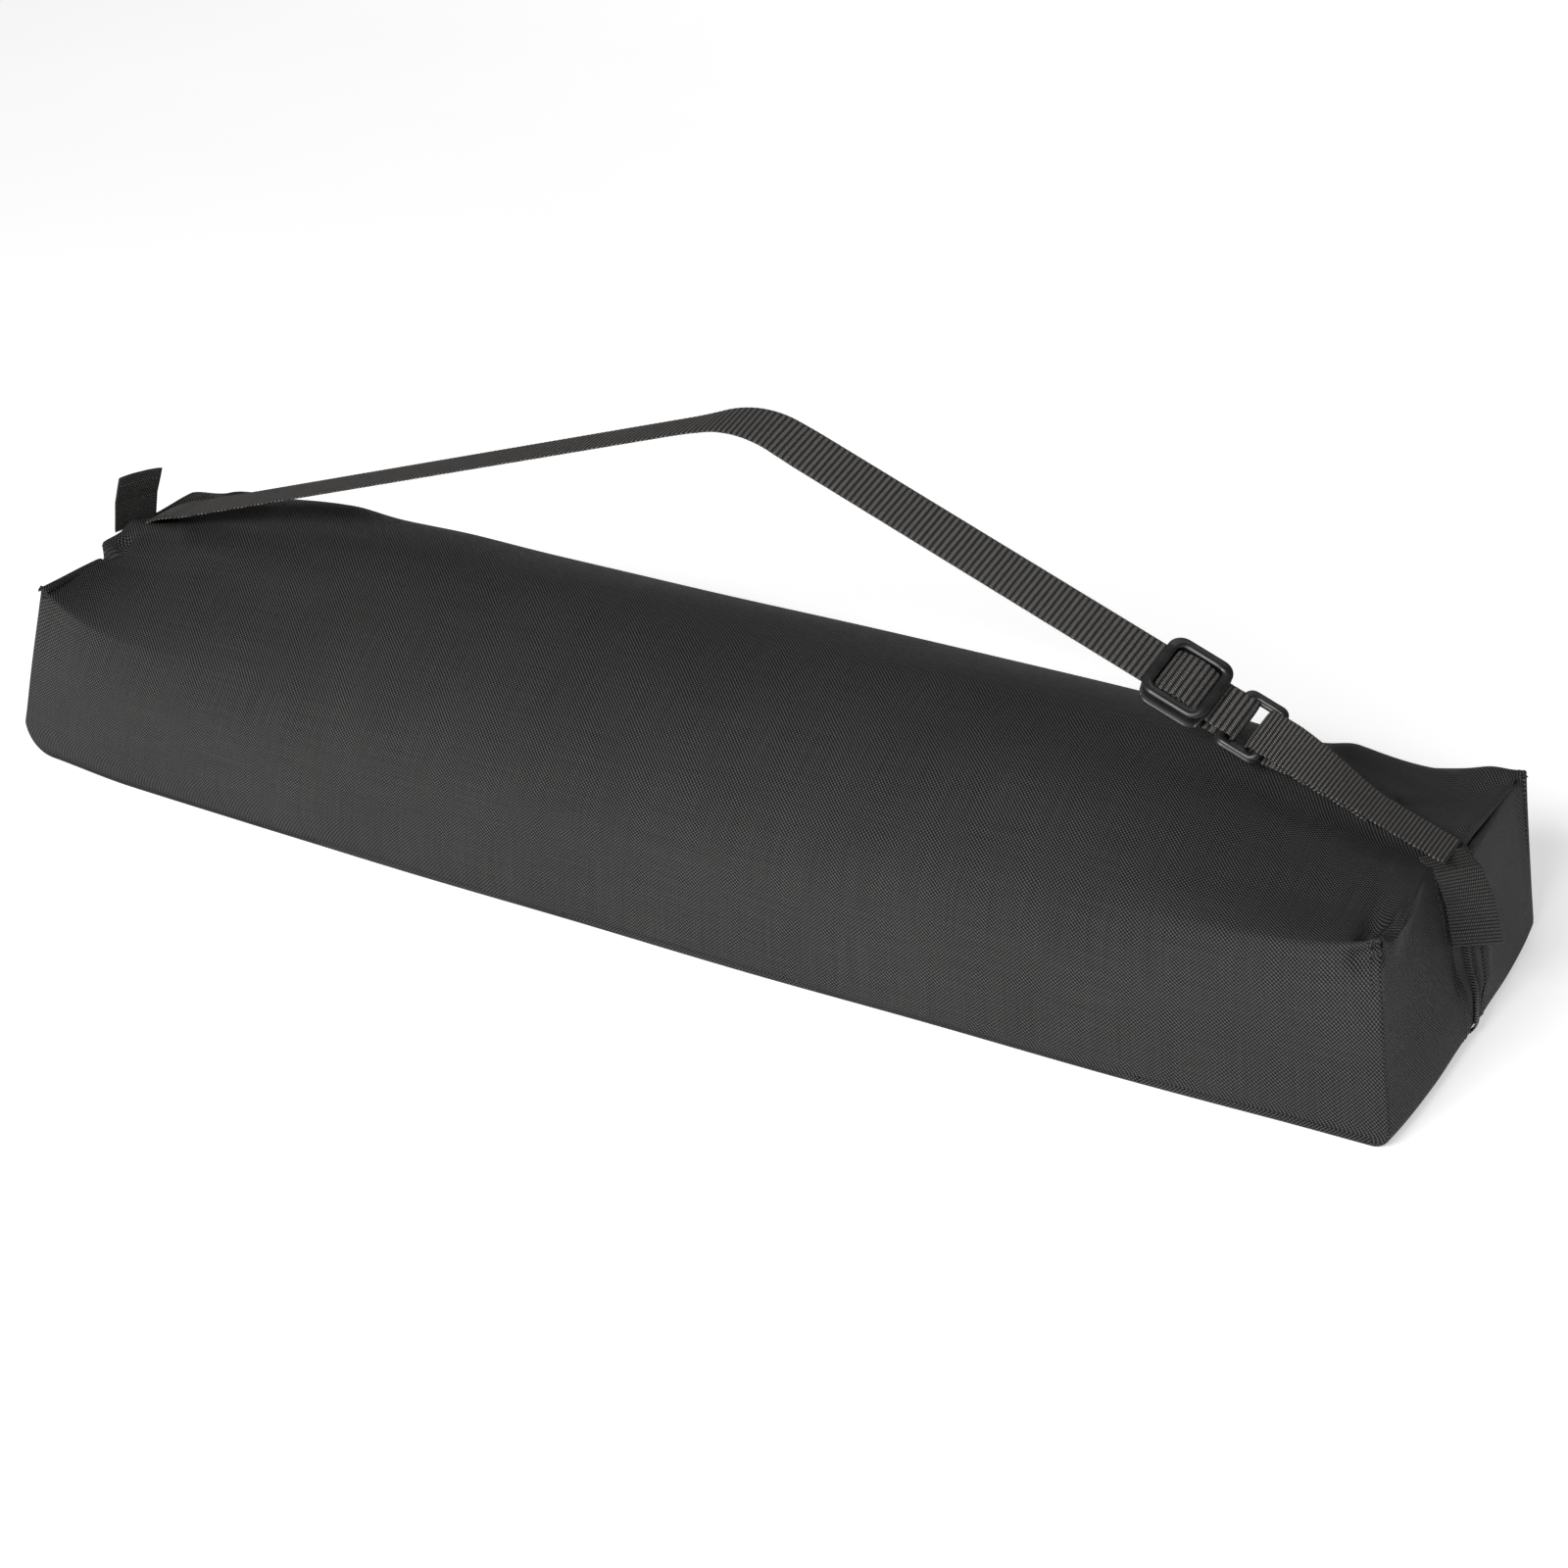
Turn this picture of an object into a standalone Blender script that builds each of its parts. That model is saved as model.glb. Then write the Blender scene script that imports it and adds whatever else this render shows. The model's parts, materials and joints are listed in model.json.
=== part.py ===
"""Soft zip-up sling bag for rolled drawings: a padded-looking box of woven fabric with a zip along
its underside, a grab tab on each end and an adjustable webbing shoulder strap.

The frame is in metres: +X runs along the bag, +Y across it, +Z up. The origin is the middle of the
underside. The wrap panel, the gusset ends and the sewn-in webbing are fixed; the two bottom flaps,
the zip slider and its pull, the tabs, the sling and its tri-glide move.
"""

import math

import bmesh
import bpy
from mathutils import Vector

MM = 0.001

# Driving dimensions of the bag body
HALF_LENGTH_TOP = 0.3825      # end seam, at the top of each end
HALF_LENGTH_BOTTOM = 0.3975   # the ends lean out towards the floor
HALF_WIDTH = 0.1075
CROWN_HEIGHT = 0.121          # top of the middle of the bag
SHOULDER_HEIGHT = 0.055       # the sides stand upright to here, then round over
END_HEIGHT_RIGHT = (0.104, 0.094, 0.089)   # end seam at the front corner, the middle, the back corner
END_HEIGHT_LEFT = (0.109, 0.105, 0.098)
CORNER_RADIUS = 0.014         # rounded lower corners of the ends
END_BULGE = 0.0165            # how far the middle of an end stands out
WALL = 1.5 * MM
GAP = 0.3 * MM                # clearance between neighbouring pieces
BINDING_GAP = 1.2 * MM        # the end bindings lie in a curve, so they stand off a little more
CROWN_POWER = 2.5             # how quickly the crown falls towards the ends
BOX_POWER = 6                 # how late the rounded section turns into the boxed end
WALL_LEVELS = (0.0, 1.8 * MM, 5 * MM, 9 * MM, CORNER_RADIUS, 0.035)   # rows up the upright sides
WRAP_STEPS = 26
ARC_STEPS = 16                # points over the top of the wrap panel, side to side
SIDE_STEPS = 2                # how many of those run down each side of the boxed end
SIDE_DROP = 0.175             # how far down they run, as a share of the end's height
END_STEPS = 9                 # points down an end, round its lower corner, and in under the bag
CORNER_STEPS = 5
UNDER_STEPS = 2
BINDING_FROM = 3              # the end bindings start at this wall level
END_BINDING_SPAN = (0.962, 0.992)        # as shares of the half length
LONG_BINDING_HALF_LENGTH = 0.368
LONG_BINDING_HEIGHTS = (3 * MM, 13 * MM)
LENGTH_STEPS = 8

# Underside and zip
FLAP_HALF_LENGTH = 0.280
FLAP_HINGE_Y = 0.1049
ZIP_RISE = 7.5 * MM           # the zip runs this far above the floor
RISE_FROM_Y = 0.055
FABRIC_EDGE_Y = 7.5 * MM      # folded edge of the fabric beside the zip
TAPE_OUTER_Y = 15.0 * MM      # the tape reaches this far out, and the lifted strip is flat to here
GUSSET_COLUMNS = (FABRIC_EDGE_Y, TAPE_OUTER_Y, 0.028, 0.042, RISE_FROM_Y, 0.075, 0.092, HALF_WIDTH)
FLAP_COLUMNS = (FLAP_HINGE_Y, 0.08, RISE_FROM_Y, 0.042, 0.028, TAPE_OUTER_Y, FABRIC_EDGE_Y)
TAPE_THICKNESS = 0.8 * MM
TAPE_TOP_INSET = 2.0 * MM     # the tape ends this far below the end seam
COIL_INNER_Y = 1.1 * MM
COIL_OUTER_Y = 3.4 * MM
COIL_THICKNESS = 2.0 * MM
ZIP_TOP_INSET = 6.0 * MM      # the coil ends this far below the end seam
STOP_TOP_INSET = 3.0 * MM
STOP_LENGTH = 2.4 * MM
STOP_PROUD = 0.2 * MM
SLIDER_X = -0.360
SLIDER_HALF = (6.0 * MM, 4.5 * MM)
PLATE = 1.5 * MM
POST_HALF = 0.8 * MM          # half width of the post between the plates, and of the bail
BAIL_HALF = 4.0 * MM          # half length of the bail
BAIL_WIRE = (0.8 * MM, 1.2 * MM)         # its thickness in the legs and in the bridge
BAIL_HEIGHT = 3.6 * MM
PULL_LENGTH = 24.0 * MM
PULL_HALF_WIDTH = 3.0 * MM
PULL_HALF_THICKNESS = 0.7 * MM
PULL_EYE = (8.5 * MM, 1.3 * MM)          # length and half width of the eye
PULL_DROP = 1.3 * MM          # the pull's axis hangs this far below the slider's plate

# Webbing, sling and hardware
WEBBING_HALF = 12.5 * MM
WEBBING = 1.5 * MM
LEFT_SEAM = (-0.3885, 0.1075)     # where the sling leaves the left end seam, as x and z
RIGHT_SEAM = (0.3840, 0.0965)
SLING_LEFT = (-0.3550, 0.1193)    # where the free strap starts
SLIDE_CENTRE = (0.2469, 0.1507)   # middle of the tri-glide
LEFT_SLOPE = math.radians(18.5)
RIGHT_SLOPE = math.radians(21.0)
ANCHOR_SLOPE = math.radians(25.6)
APEX_RADIUS = 0.060
LEFT_ROLL = math.radians(4.0)     # the webbing turns its face towards the front
RIGHT_ROLL = math.radians(26.0)
RING_LEFT_BAR = 27.1 * MM         # along the strap from the tri-glide's middle
RING_RIGHT_BAR = 47.1 * MM
LOOP_SLACK = 2.4 * MM             # the folds stand off the ring's bars
LOOP_RADIUS = 3.25 * MM
LOOP_STEPS = 8
ROLL_LEAD = 0.020                 # the webbing starts to turn this far before the top of its arch
ROLL_LENGTH = 0.080
STRAIGHT_FROM = 0.020             # the right-hand run is straight from here past the arch
TAIL = 4.0 * MM                   # the sewn fold ends this far before the ring's left bar
ROOT_GAP = 1.4 * MM               # room for the rolled webbing to swing past its sewn root
ANCHOR_BEND = 56.0 * MM
ANCHOR_MERGE = 66.0 * MM          # past here the two anchor layers lie on each other
ANCHOR_RETURN = 50.0 * MM         # and the lower one leaves its fold round the ring here
ANCHOR_KINK = 1.0 * MM
ANCHOR_END = 106.5 * MM           # where the free anchor webbing stops, along the strap
TAB_LENGTH_RIGHT = 46 * MM
TAB_LENGTH_LEFT = 38 * MM
TAB_CLEARANCE = 1.2 * MM          # between the right tab and the fabric
TAB_RIGHT_OFFSET = (2.2 * MM, 1.0 * MM)  # first point of each tab, outwards and up from its seam
TAB_LEFT_OFFSET = (0.8 * MM, 2.4 * MM)
TAB_LEFT_LEAN = 0.9 * MM
TAB_TOP_INSET = 5.0 * MM
TAB_POINTS = 5                    # points of the end's surface that the right tab follows

# The strap's sewn end loop round the tri-glide's centre bar, along the strap and from its layers
LOOP_BAR_S = -1.2 * MM
LOOP_TUCK = (14.0 * MM, 5.0 * MM, 2.8 * MM)
LOOP_MEET = 9.0 * MM

# Tri-glide and ring: half sizes along the strap and across it, and the half thickness of the bars
GLIDE_LONG = (16.0 * MM, 11.8 * MM, 2.0 * MM)
GLIDE_WIDE = (18.0 * MM, 13.4 * MM)
GLIDE_CENTRE_BAR = 1.1 * MM
GLIDE_OUTER_BAR = 3.0 * MM
GLIDE_BEVEL = 0.8 * MM
RING_BAR = 1.9 * MM
RING_WIDE = (17.5 * MM, 13.5 * MM)
RING_BEVEL = 1.1 * MM

FABRIC = ((0.052, 0.052, 0.053), 0.82)
TAPE_CLOTH = ((0.030, 0.030, 0.031), 0.85)
WEB_CLOTH = ((0.036, 0.036, 0.035), 0.75)
PLASTIC = ((0.028, 0.028, 0.029), 0.35)
COIL_PLASTIC = ((0.020, 0.020, 0.021), 0.40)
METAL = ((0.045, 0.045, 0.047), 0.32)


def clear_scene():
    for obj in list(bpy.data.objects):
        bpy.data.objects.remove(obj)


def material(name, look, metallic=0.0):
    mat = bpy.data.materials.new(name)
    mat.use_nodes = True
    shader = mat.node_tree.nodes["Principled BSDF"]
    colour, roughness = look
    shader.inputs["Base Color"].default_value = (*colour, 1.0)
    shader.inputs["Roughness"].default_value = roughness
    shader.inputs["Metallic"].default_value = metallic
    return mat


def add_solid(name, points, faces, look, origin=(0.0, 0.0, 0.0), metallic=0.0):
    """One named object with its origin on its joint's axis and its faces pointing out."""
    base = Vector(origin)
    mesh = bpy.data.meshes.new(name)
    mesh.from_pydata([Vector(p) - base for p in points], [], faces)
    shape = bmesh.new()
    shape.from_mesh(mesh)
    bmesh.ops.recalc_face_normals(shape, faces=shape.faces)
    shape.to_mesh(mesh)
    shape.free()
    mesh.materials.append(material(name, look, metallic))
    obj = bpy.data.objects.new(name, mesh)
    obj.location = base
    bpy.context.scene.collection.objects.link(obj)
    return obj


def sheet(name, outer, inner, look, origin=(0.0, 0.0, 0.0)):
    """A closed wall between two equal grids of points."""
    rows, columns = len(outer), len(outer[0])
    points = [p for grid in (outer, inner) for row in grid for p in row]

    def at(side, i, j):
        return side * rows * columns + i * columns + j

    faces = []
    for side in (0, 1):
        for i in range(rows - 1):
            for j in range(columns - 1):
                faces.append([at(side, i, j), at(side, i + 1, j), at(side, i + 1, j + 1), at(side, i, j + 1)])
    for i in range(rows - 1):
        for j in (0, columns - 1):
            faces.append([at(0, i, j), at(0, i + 1, j), at(1, i + 1, j), at(1, i, j)])
    for j in range(columns - 1):
        for i in (0, rows - 1):
            faces.append([at(0, i, j), at(0, i, j + 1), at(1, i, j + 1), at(1, i, j)])
    return add_solid(name, points, faces, look, origin)


def cells(name, edges, filled, place, look, origin=(0.0, 0.0, 0.0), metallic=0.0):
    """A solid made of the filled cells of a grid. edges holds the three lists of cell borders,
    filled says which cells are solid, and place turns grid coordinates into a point."""
    counts = [len(e) - 1 for e in edges]
    index, points, faces = {}, [], []

    def corner(key):
        if key not in index:
            index[key] = len(points)
            points.append(place(*(edges[axis][key[axis]] for axis in range(3))))
        return index[key]

    def solid(cell):
        inside = all(0 <= cell[a] < counts[a] for a in range(3))
        return inside and filled(*(0.5 * (edges[a][cell[a]] + edges[a][cell[a] + 1]) for a in range(3)))

    for i in range(counts[0]):
        for j in range(counts[1]):
            for k in range(counts[2]):
                if not solid((i, j, k)):
                    continue
                for axis in range(3):
                    for step in (0, 1):
                        other = [i, j, k]
                        other[axis] += 2 * step - 1
                        if solid(tuple(other)):
                            continue
                        ring = []
                        for u, v in ((0, 0), (1, 0), (1, 1), (0, 1)):
                            key = [i, j, k]
                            key[axis] += step
                            key[(axis + 1) % 3] += u
                            key[(axis + 2) % 3] += v
                            ring.append(corner(tuple(key)))
                        faces.append(ring)
    return add_solid(name, points, faces, look, origin, metallic)


def soften(obj, width, segments=2):
    bevel = obj.modifiers.new("Bevel", "BEVEL")
    bevel.width = width
    bevel.segments = segments
    bevel.limit_method = "ANGLE"
    bevel.angle_limit = math.radians(50)


def mix(a, b, t):
    return a + (b - a) * t


def smooth(t):
    t = min(max(t, 0.0), 1.0)
    return t * t * (3 - 2 * t)


def steps(start, stop, count):
    return [mix(start, stop, i / count) for i in range(count + 1)]


# ---------------------------------------------------------------- bag body


def seam_height(side, y):
    """Height of the end seam: side is -1 for the left end and 1 for the right."""
    front, middle, back = END_HEIGHT_RIGHT if side > 0 else END_HEIGHT_LEFT
    t = y / HALF_WIDTH
    return mix(middle, back, t) if t > 0 else mix(middle, front, -t)


def edge_x(z, top, inset=0.0):
    """How far out the straight side edge of an end reaches at height z, inset from its surface."""
    if z >= CORNER_RADIUS:
        lean = (z - CORNER_RADIUS) / (top - CORNER_RADIUS)
        return mix(HALF_LENGTH_BOTTOM, HALF_LENGTH_TOP, lean) - inset
    radius = CORNER_RADIUS - inset
    drop = min(CORNER_RADIUS - z, radius)
    return HALF_LENGTH_BOTTOM - CORNER_RADIUS + math.sqrt(radius * radius - drop * drop)


def wrap_row(s, inset, end_inset):
    """One line of points across the wrap panel, at s from -1 (left end) to 1 (right end): up the
    front side, over the top and down the back side. The section is rounded in the middle of the bag
    and boxed at its ends."""
    side = 1 if s > 0 else -1
    half = HALF_WIDTH - inset
    rise = CROWN_HEIGHT - inset - SHOULDER_HEIGHT
    boxing = abs(s) ** BOX_POWER
    fall = abs(s) ** CROWN_POWER
    middle = 0.5 * ARC_STEPS
    flat = middle - SIDE_STEPS

    def wall(y):
        top = seam_height(side, y)
        return [(s * edge_x(z, top, end_inset), y, z) for z in WALL_LEVELS]

    arc = []
    for i in range(ARC_STEPS + 1):
        angle = math.pi * i / ARC_STEPS
        box_y = half * min(max((i - middle) / flat, -1), 1)
        box_share = 1 - SIDE_DROP * max(abs(i - middle) - flat, 0) / SIDE_STEPS
        top = seam_height(side, box_y)
        round_z = SHOULDER_HEIGHT + rise * math.sin(angle)
        round_z *= 1 - (CROWN_HEIGHT - top) * fall / CROWN_HEIGHT
        z = mix(round_z, (top - inset) * box_share, boxing)
        y = mix(-half * math.cos(angle), box_y, boxing)
        arc.append((s * edge_x(z, top, end_inset), y, z))
    return wall(-half) + arc + wall(half)[::-1]


def wrap_panel():
    """One panel that runs up the front, over the top and down the back."""
    stations = [math.sin(0.5 * math.pi * t) for t in steps(-1, 1, WRAP_STEPS)]
    end_inset = WALL + GAP
    outer = [wrap_row(s, 0.0, end_inset) for s in stations]
    inner = [wrap_row(s, WALL, end_inset) for s in stations]
    return sheet("wrap_panel", outer, inner, FABRIC)


def end_seam_bindings():
    """Binding tape sewn over the raw edges inside each end seam."""
    kept = slice(BINDING_FROM, -BINDING_FROM)
    near = WALL + BINDING_GAP
    end_inset = WALL + 4 * GAP
    for side, name in ((-1, "left"), (1, "right")):
        stations = [side * t for t in steps(*END_BINDING_SPAN, 2)]
        outer = [wrap_row(s, near, end_inset)[kept] for s in stations]
        inner = [wrap_row(s, near + TAPE_THICKNESS, end_inset)[kept] for s in stations]
        sheet("end_binding_" + name, outer, inner, TAPE_CLOTH)


def long_seam_bindings():
    """Binding tape inside each long bottom edge."""
    for side, name in ((-1, "front"), (1, "back")):
        face = side * (HALF_WIDTH - WALL - GAP)
        grids = []
        stations = steps(-LONG_BINDING_HALF_LENGTH, LONG_BINDING_HALF_LENGTH, LENGTH_STEPS)
        for y in (face, face - side * TAPE_THICKNESS):
            grids.append([[(x, y, z) for z in LONG_BINDING_HEIGHTS] for x in stations])
        sheet("long_binding_" + name, grids[0], grids[1], TAPE_CLOTH)


# ---------------------------------------------------------------- gusset and zip


def bottom_z(y):
    """Underside of the gusset: flat near the long edges, lifted at the zip."""
    lift = (RISE_FROM_Y - abs(y)) / (RISE_FROM_Y - TAPE_OUTER_Y)
    return ZIP_RISE * smooth(lift)


def end_path(y, side, top_inset=0.0):
    """The gusset's surface down one end and in under the bag, as (x, z) for a right end."""
    top = seam_height(side, y)
    floor = bottom_z(y)
    bulge = END_BULGE * (1 - (y / HALF_WIDTH) ** 2)
    points = []
    for z in steps(top - top_inset, CORNER_RADIUS + floor, END_STEPS):
        points.append((edge_x(z, top) + bulge * math.sin(math.pi * z / top), z))
    start_x = points[-1][0]
    for angle in steps(0, math.pi / 2, CORNER_STEPS)[1:]:
        x = start_x - CORNER_RADIUS + CORNER_RADIUS * math.cos(angle)
        points.append((x, floor + CORNER_RADIUS * (1 - math.sin(angle))))
    last = points[-1][0]
    points += [(x, floor) for x in steps(last, FLAP_HALF_LENGTH + GAP, UNDER_STEPS)[1:]]
    return points


def offset_path(points, distance):
    """The path moved towards the inside of the bag."""
    moved = []
    for i, (x, z) in enumerate(points):
        x0, z0 = points[max(i - 1, 0)]
        x1, z1 = points[min(i + 1, len(points) - 1)]
        run = math.hypot(x1 - x0, z1 - z0)
        moved.append((x + (z1 - z0) / run * distance, z - (x1 - x0) / run * distance))
    return moved


def end_grid(columns, side, inset, top_inset=0.0, tuck=0.0):
    """Grid of points on the gusset end. tuck narrows the part that lies between the wrap panel's
    walls, under the bag."""
    grid = []
    for y in columns:
        path = offset_path(end_path(y, side, top_inset), inset)
        flat = len(path) - UNDER_STEPS - 1
        narrow = math.copysign(min(abs(y), HALF_WIDTH - tuck), y)
        grid.append([(side * x, narrow if k >= flat else y, z) for k, (x, z) in enumerate(path)])
    return grid


def each_end():
    for side, side_name in ((-1, "left"), (1, "right")):
        for half, half_name in ((-1, "front"), (1, "back")):
            yield side, half, side_name + "_" + half_name


def gusset_ends():
    """The fixed ends of the two gusset strips."""
    for side, half, name in each_end():
        columns = [half * y for y in GUSSET_COLUMNS]
        outer = end_grid(columns, side, 0.0, tuck=WALL + GAP)
        inner = end_grid(columns, side, WALL, tuck=WALL + GAP)
        sheet("gusset_end_" + name, outer, inner, FABRIC)


def flap_grid(columns, half, lift):
    stations = steps(-FLAP_HALF_LENGTH, FLAP_HALF_LENGTH, LENGTH_STEPS)
    return [[(x, half * y, bottom_z(y) + lift) for x in stations] for y in columns]


def bottom_flaps():
    """The parts of the gusset strips that fall open along the long bottom edges."""
    tape = (COIL_INNER_Y, TAPE_OUTER_Y)
    coil = (COIL_INNER_Y, COIL_OUTER_Y)
    tape_lift = WALL + GAP
    for half, name in ((-1, "front"), (1, "back")):
        hinge = (0.0, half * FLAP_HINGE_Y, 0.5 * WALL)

        def layer(kind, columns, low, high, look):
            lower = flap_grid(columns, half, low)
            upper = flap_grid(columns, half, high)
            sheet(kind + "_" + name, lower, upper, look, hinge)

        layer("bottom_flap", FLAP_COLUMNS, 0.0, WALL, FABRIC)
        layer("zip_tape_bottom", tape, tape_lift, tape_lift + TAPE_THICKNESS, TAPE_CLOTH)
        layer("zip_coil_bottom", coil, WALL - COIL_THICKNESS, WALL, COIL_PLASTIC)


def zip_ends():
    """Zip tape and coil up each end, under the tab."""
    tape_inset = WALL + GAP
    for side, half, name in each_end():
        tape = [half * COIL_INNER_Y, half * TAPE_OUTER_Y]
        sheet("zip_tape_" + name, end_grid(tape, side, tape_inset, TAPE_TOP_INSET),
              end_grid(tape, side, tape_inset + TAPE_THICKNESS, TAPE_TOP_INSET), TAPE_CLOTH)
        coil = [half * COIL_INNER_Y, half * COIL_OUTER_Y]
        sheet("zip_coil_" + name, end_grid(coil, side, WALL - COIL_THICKNESS, ZIP_TOP_INSET),
              end_grid(coil, side, WALL, ZIP_TOP_INSET), COIL_PLASTIC)


def zip_stops():
    """A small clip across the coil's end at each end of the zip."""
    for side, name in ((-1, "left"), (1, "right")):
        path = trim(end_path(0.0, side, STOP_TOP_INSET), STOP_LENGTH)
        grids = []
        for depth in (-STOP_PROUD, WALL):
            line = offset_path(path, depth)
            grids.append([[(side * x, y, z) for x, z in line] for y in (-COIL_OUTER_Y, COIL_OUTER_Y)])
        sheet("zip_stop_" + name, grids[0], grids[1], METAL)


def slider_plate_low():
    """Underside of the slider's outer plate."""
    return ZIP_RISE + WALL - COIL_THICKNESS - GAP - PLATE


def zip_slider():
    """Slider body: an inner and an outer plate joined by a post between the coils, with a bail."""
    outer_low = slider_plate_low()
    outer_high = outer_low + PLATE
    inner_low = ZIP_RISE + WALL + GAP + TAPE_THICKNESS + GAP
    bail_low = outer_low - BAIL_HEIGHT
    leg, bridge = BAIL_WIRE
    long, wide = SLIDER_HALF
    bail = [-BAIL_HALF, leg - BAIL_HALF, BAIL_HALF - leg, BAIL_HALF]
    xs = [-long, *bail, long]
    ys = [-wide, -POST_HALF, POST_HALF, wide]
    zs = [bail_low, bail_low + bridge, outer_low, outer_high, inner_low, inner_low + PLATE]

    def filled(x, y, z):
        if outer_low < z < outer_high or z > inner_low:
            return True
        if abs(y) > POST_HALF:
            return False
        if z > outer_high:
            return x < -BAIL_HALF
        if z < bail_low + bridge:
            return abs(x) < BAIL_HALF
        return BAIL_HALF - leg < abs(x) < BAIL_HALF

    def place(x, y, z):
        return (SLIDER_X + x, y, z)

    return cells("zip_slider", (xs, ys, zs), filled, place, METAL, (SLIDER_X, 0.0, 0.0), 0.8)


def zip_pull():
    """Pull tab with an eye whose bar passes through the slider's bail."""
    axis_z = slider_plate_low() - PULL_DROP
    half = PULL_HALF_THICKNESS
    eye_length, eye_half = PULL_EYE
    xs = [-PULL_LENGTH, -eye_length, -half, half]
    ys = [-PULL_HALF_WIDTH, -eye_half, eye_half, PULL_HALF_WIDTH]
    zs = [-half, half]

    def filled(x, y, z):
        return not (-eye_length < x < -half and abs(y) < eye_half)

    def place(x, y, z):
        return (SLIDER_X + x, y, axis_z + z)

    return cells("zip_pull", (xs, ys, zs), filled, place, METAL, (SLIDER_X, 0.0, axis_z), 0.8)


# ---------------------------------------------------------------- tabs


def tab_right():
    """Webbing tab that hangs from the right end seam, in front of the end of the zip."""
    out, up = TAB_RIGHT_OFFSET
    path = [(RIGHT_SEAM[0] + out, RIGHT_SEAM[1] + up)]
    surface = end_path(0.0, 1, TAB_TOP_INSET)
    path += offset_path(surface, -TAB_CLEARANCE - GAP)[:TAB_POINTS]
    return strip("tab_right", trim(path, TAB_LENGTH_RIGHT), path[0])


def tab_left():
    """Webbing tab that stands up from the left end seam."""
    out, up = TAB_LEFT_OFFSET
    x, z = LEFT_SEAM[0] - out, LEFT_SEAM[1] + up
    path = [(x - TAB_LEFT_LEAN * t * t, z + TAB_LENGTH_LEFT * t) for t in steps(0, 1, 4)]
    return strip("tab_left", path, (x, z))


def trim(path, length):
    """The first stretch of a path, cut at the given length."""
    kept, run = [path[0]], 0.0
    for a, b in zip(path, path[1:]):
        piece = math.hypot(b[0] - a[0], b[1] - a[1])
        if run + piece >= length:
            t = (length - run) / piece
            kept.append((mix(a[0], b[0], t), mix(a[1], b[1], t)))
            return kept
        kept.append(b)
        run += piece
    return kept


def strip(name, path, hinge):
    """A flat webbing strip across Y whose middle line is a path in X and Z."""
    half = 0.5 * WEBBING
    outer = [[(x, y, z) for x, z in offset_path(path, -half)] for y in (-WEBBING_HALF, WEBBING_HALF)]
    inner = [[(x, y, z) for x, z in offset_path(path, half)] for y in (-WEBBING_HALF, WEBBING_HALF)]
    return sheet(name, outer, inner, WEB_CLOTH, (hinge[0], 0.0, hinge[1]))


def webbing_roots():
    """The short ends of the sling webbing that are sewn into the end seams."""
    strip("strap_root_left", [LEFT_SEAM, (SLING_LEFT[0] - ROOT_GAP, SLING_LEFT[1])], LEFT_SEAM)
    end = sling_point(ANCHOR_END + ROOT_GAP, 0.0, 0.0)
    strip("strap_root_right", [(end.x, end.z), RIGHT_SEAM], RIGHT_SEAM)


# ---------------------------------------------------------------- sling


def sling_frame(s):
    """Middle point, direction, normal and width direction of the sling, s metres past the tri-glide."""
    right = (math.cos(RIGHT_SLOPE), -math.sin(RIGHT_SLOPE))
    left = (math.cos(LEFT_SLOPE), math.sin(LEFT_SLOPE))
    arc_start, arc_end = arch_span()
    if s > ANCHOR_BEND:
        x = SLIDE_CENTRE[0] + ANCHOR_BEND * right[0] + (s - ANCHOR_BEND) * math.cos(ANCHOR_SLOPE)
        z = SLIDE_CENTRE[1] + ANCHOR_BEND * right[1] - (s - ANCHOR_BEND) * math.sin(ANCHOR_SLOPE)
        slope = -ANCHOR_SLOPE
    elif s >= arc_end:
        x = SLIDE_CENTRE[0] + s * right[0]
        z = SLIDE_CENTRE[1] + s * right[1]
        slope = -RIGHT_SLOPE
    else:
        centre_x = SLIDE_CENTRE[0] + arc_end * right[0] + APEX_RADIUS * right[1]
        centre_z = SLIDE_CENTRE[1] + arc_end * right[1] - APEX_RADIUS * right[0]
        slope = min((arc_end - s) / APEX_RADIUS - RIGHT_SLOPE, LEFT_SLOPE)
        x = centre_x - APEX_RADIUS * math.sin(slope)
        z = centre_z + APEX_RADIUS * math.cos(slope)
        if s < arc_start:
            x -= (arc_start - s) * left[0]
            z -= (arc_start - s) * left[1]
    roll = mix(LEFT_ROLL, RIGHT_ROLL, smooth((s - arc_start + ROLL_LEAD) / ROLL_LENGTH))
    roll *= 1 - smooth((s - ANCHOR_BEND) / (ANCHOR_END - ANCHOR_BEND))
    normal = Vector((-math.sin(slope), 0.0, math.cos(slope)))
    across = Vector((0.0, 1.0, 0.0))
    width = across * math.cos(roll) + normal * math.sin(roll)
    return Vector((x, 0.0, z)), normal * math.cos(roll) - across * math.sin(roll), width


def apex_distance():
    """Where the two straight runs of the sling would meet, measured from the tri-glide."""
    dx = SLIDE_CENTRE[0] - SLING_LEFT[0]
    dz = SLIDE_CENTRE[1] - SLING_LEFT[1]
    return -(dx * math.sin(LEFT_SLOPE) - dz * math.cos(LEFT_SLOPE)) / math.sin(LEFT_SLOPE + RIGHT_SLOPE)


def arch_span():
    """Where the strap's arch starts and ends, measured from the tri-glide."""
    turn = LEFT_SLOPE + RIGHT_SLOPE
    arc_end = apex_distance() + APEX_RADIUS * math.tan(0.5 * turn)
    return arc_end - APEX_RADIUS * turn, arc_end


def sling_start():
    """Distance from the tri-glide back to the free left end of the strap."""
    s = apex_distance()
    while sling_frame(s)[0].x > SLING_LEFT[0]:
        s -= 0.5 * MM
    return s


def sling_point(s, n, y):
    """A point s along the sling, n above its top webbing's middle layer and y across it."""
    middle, normal, width = sling_frame(s)
    return middle + normal * n + width * y


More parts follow.
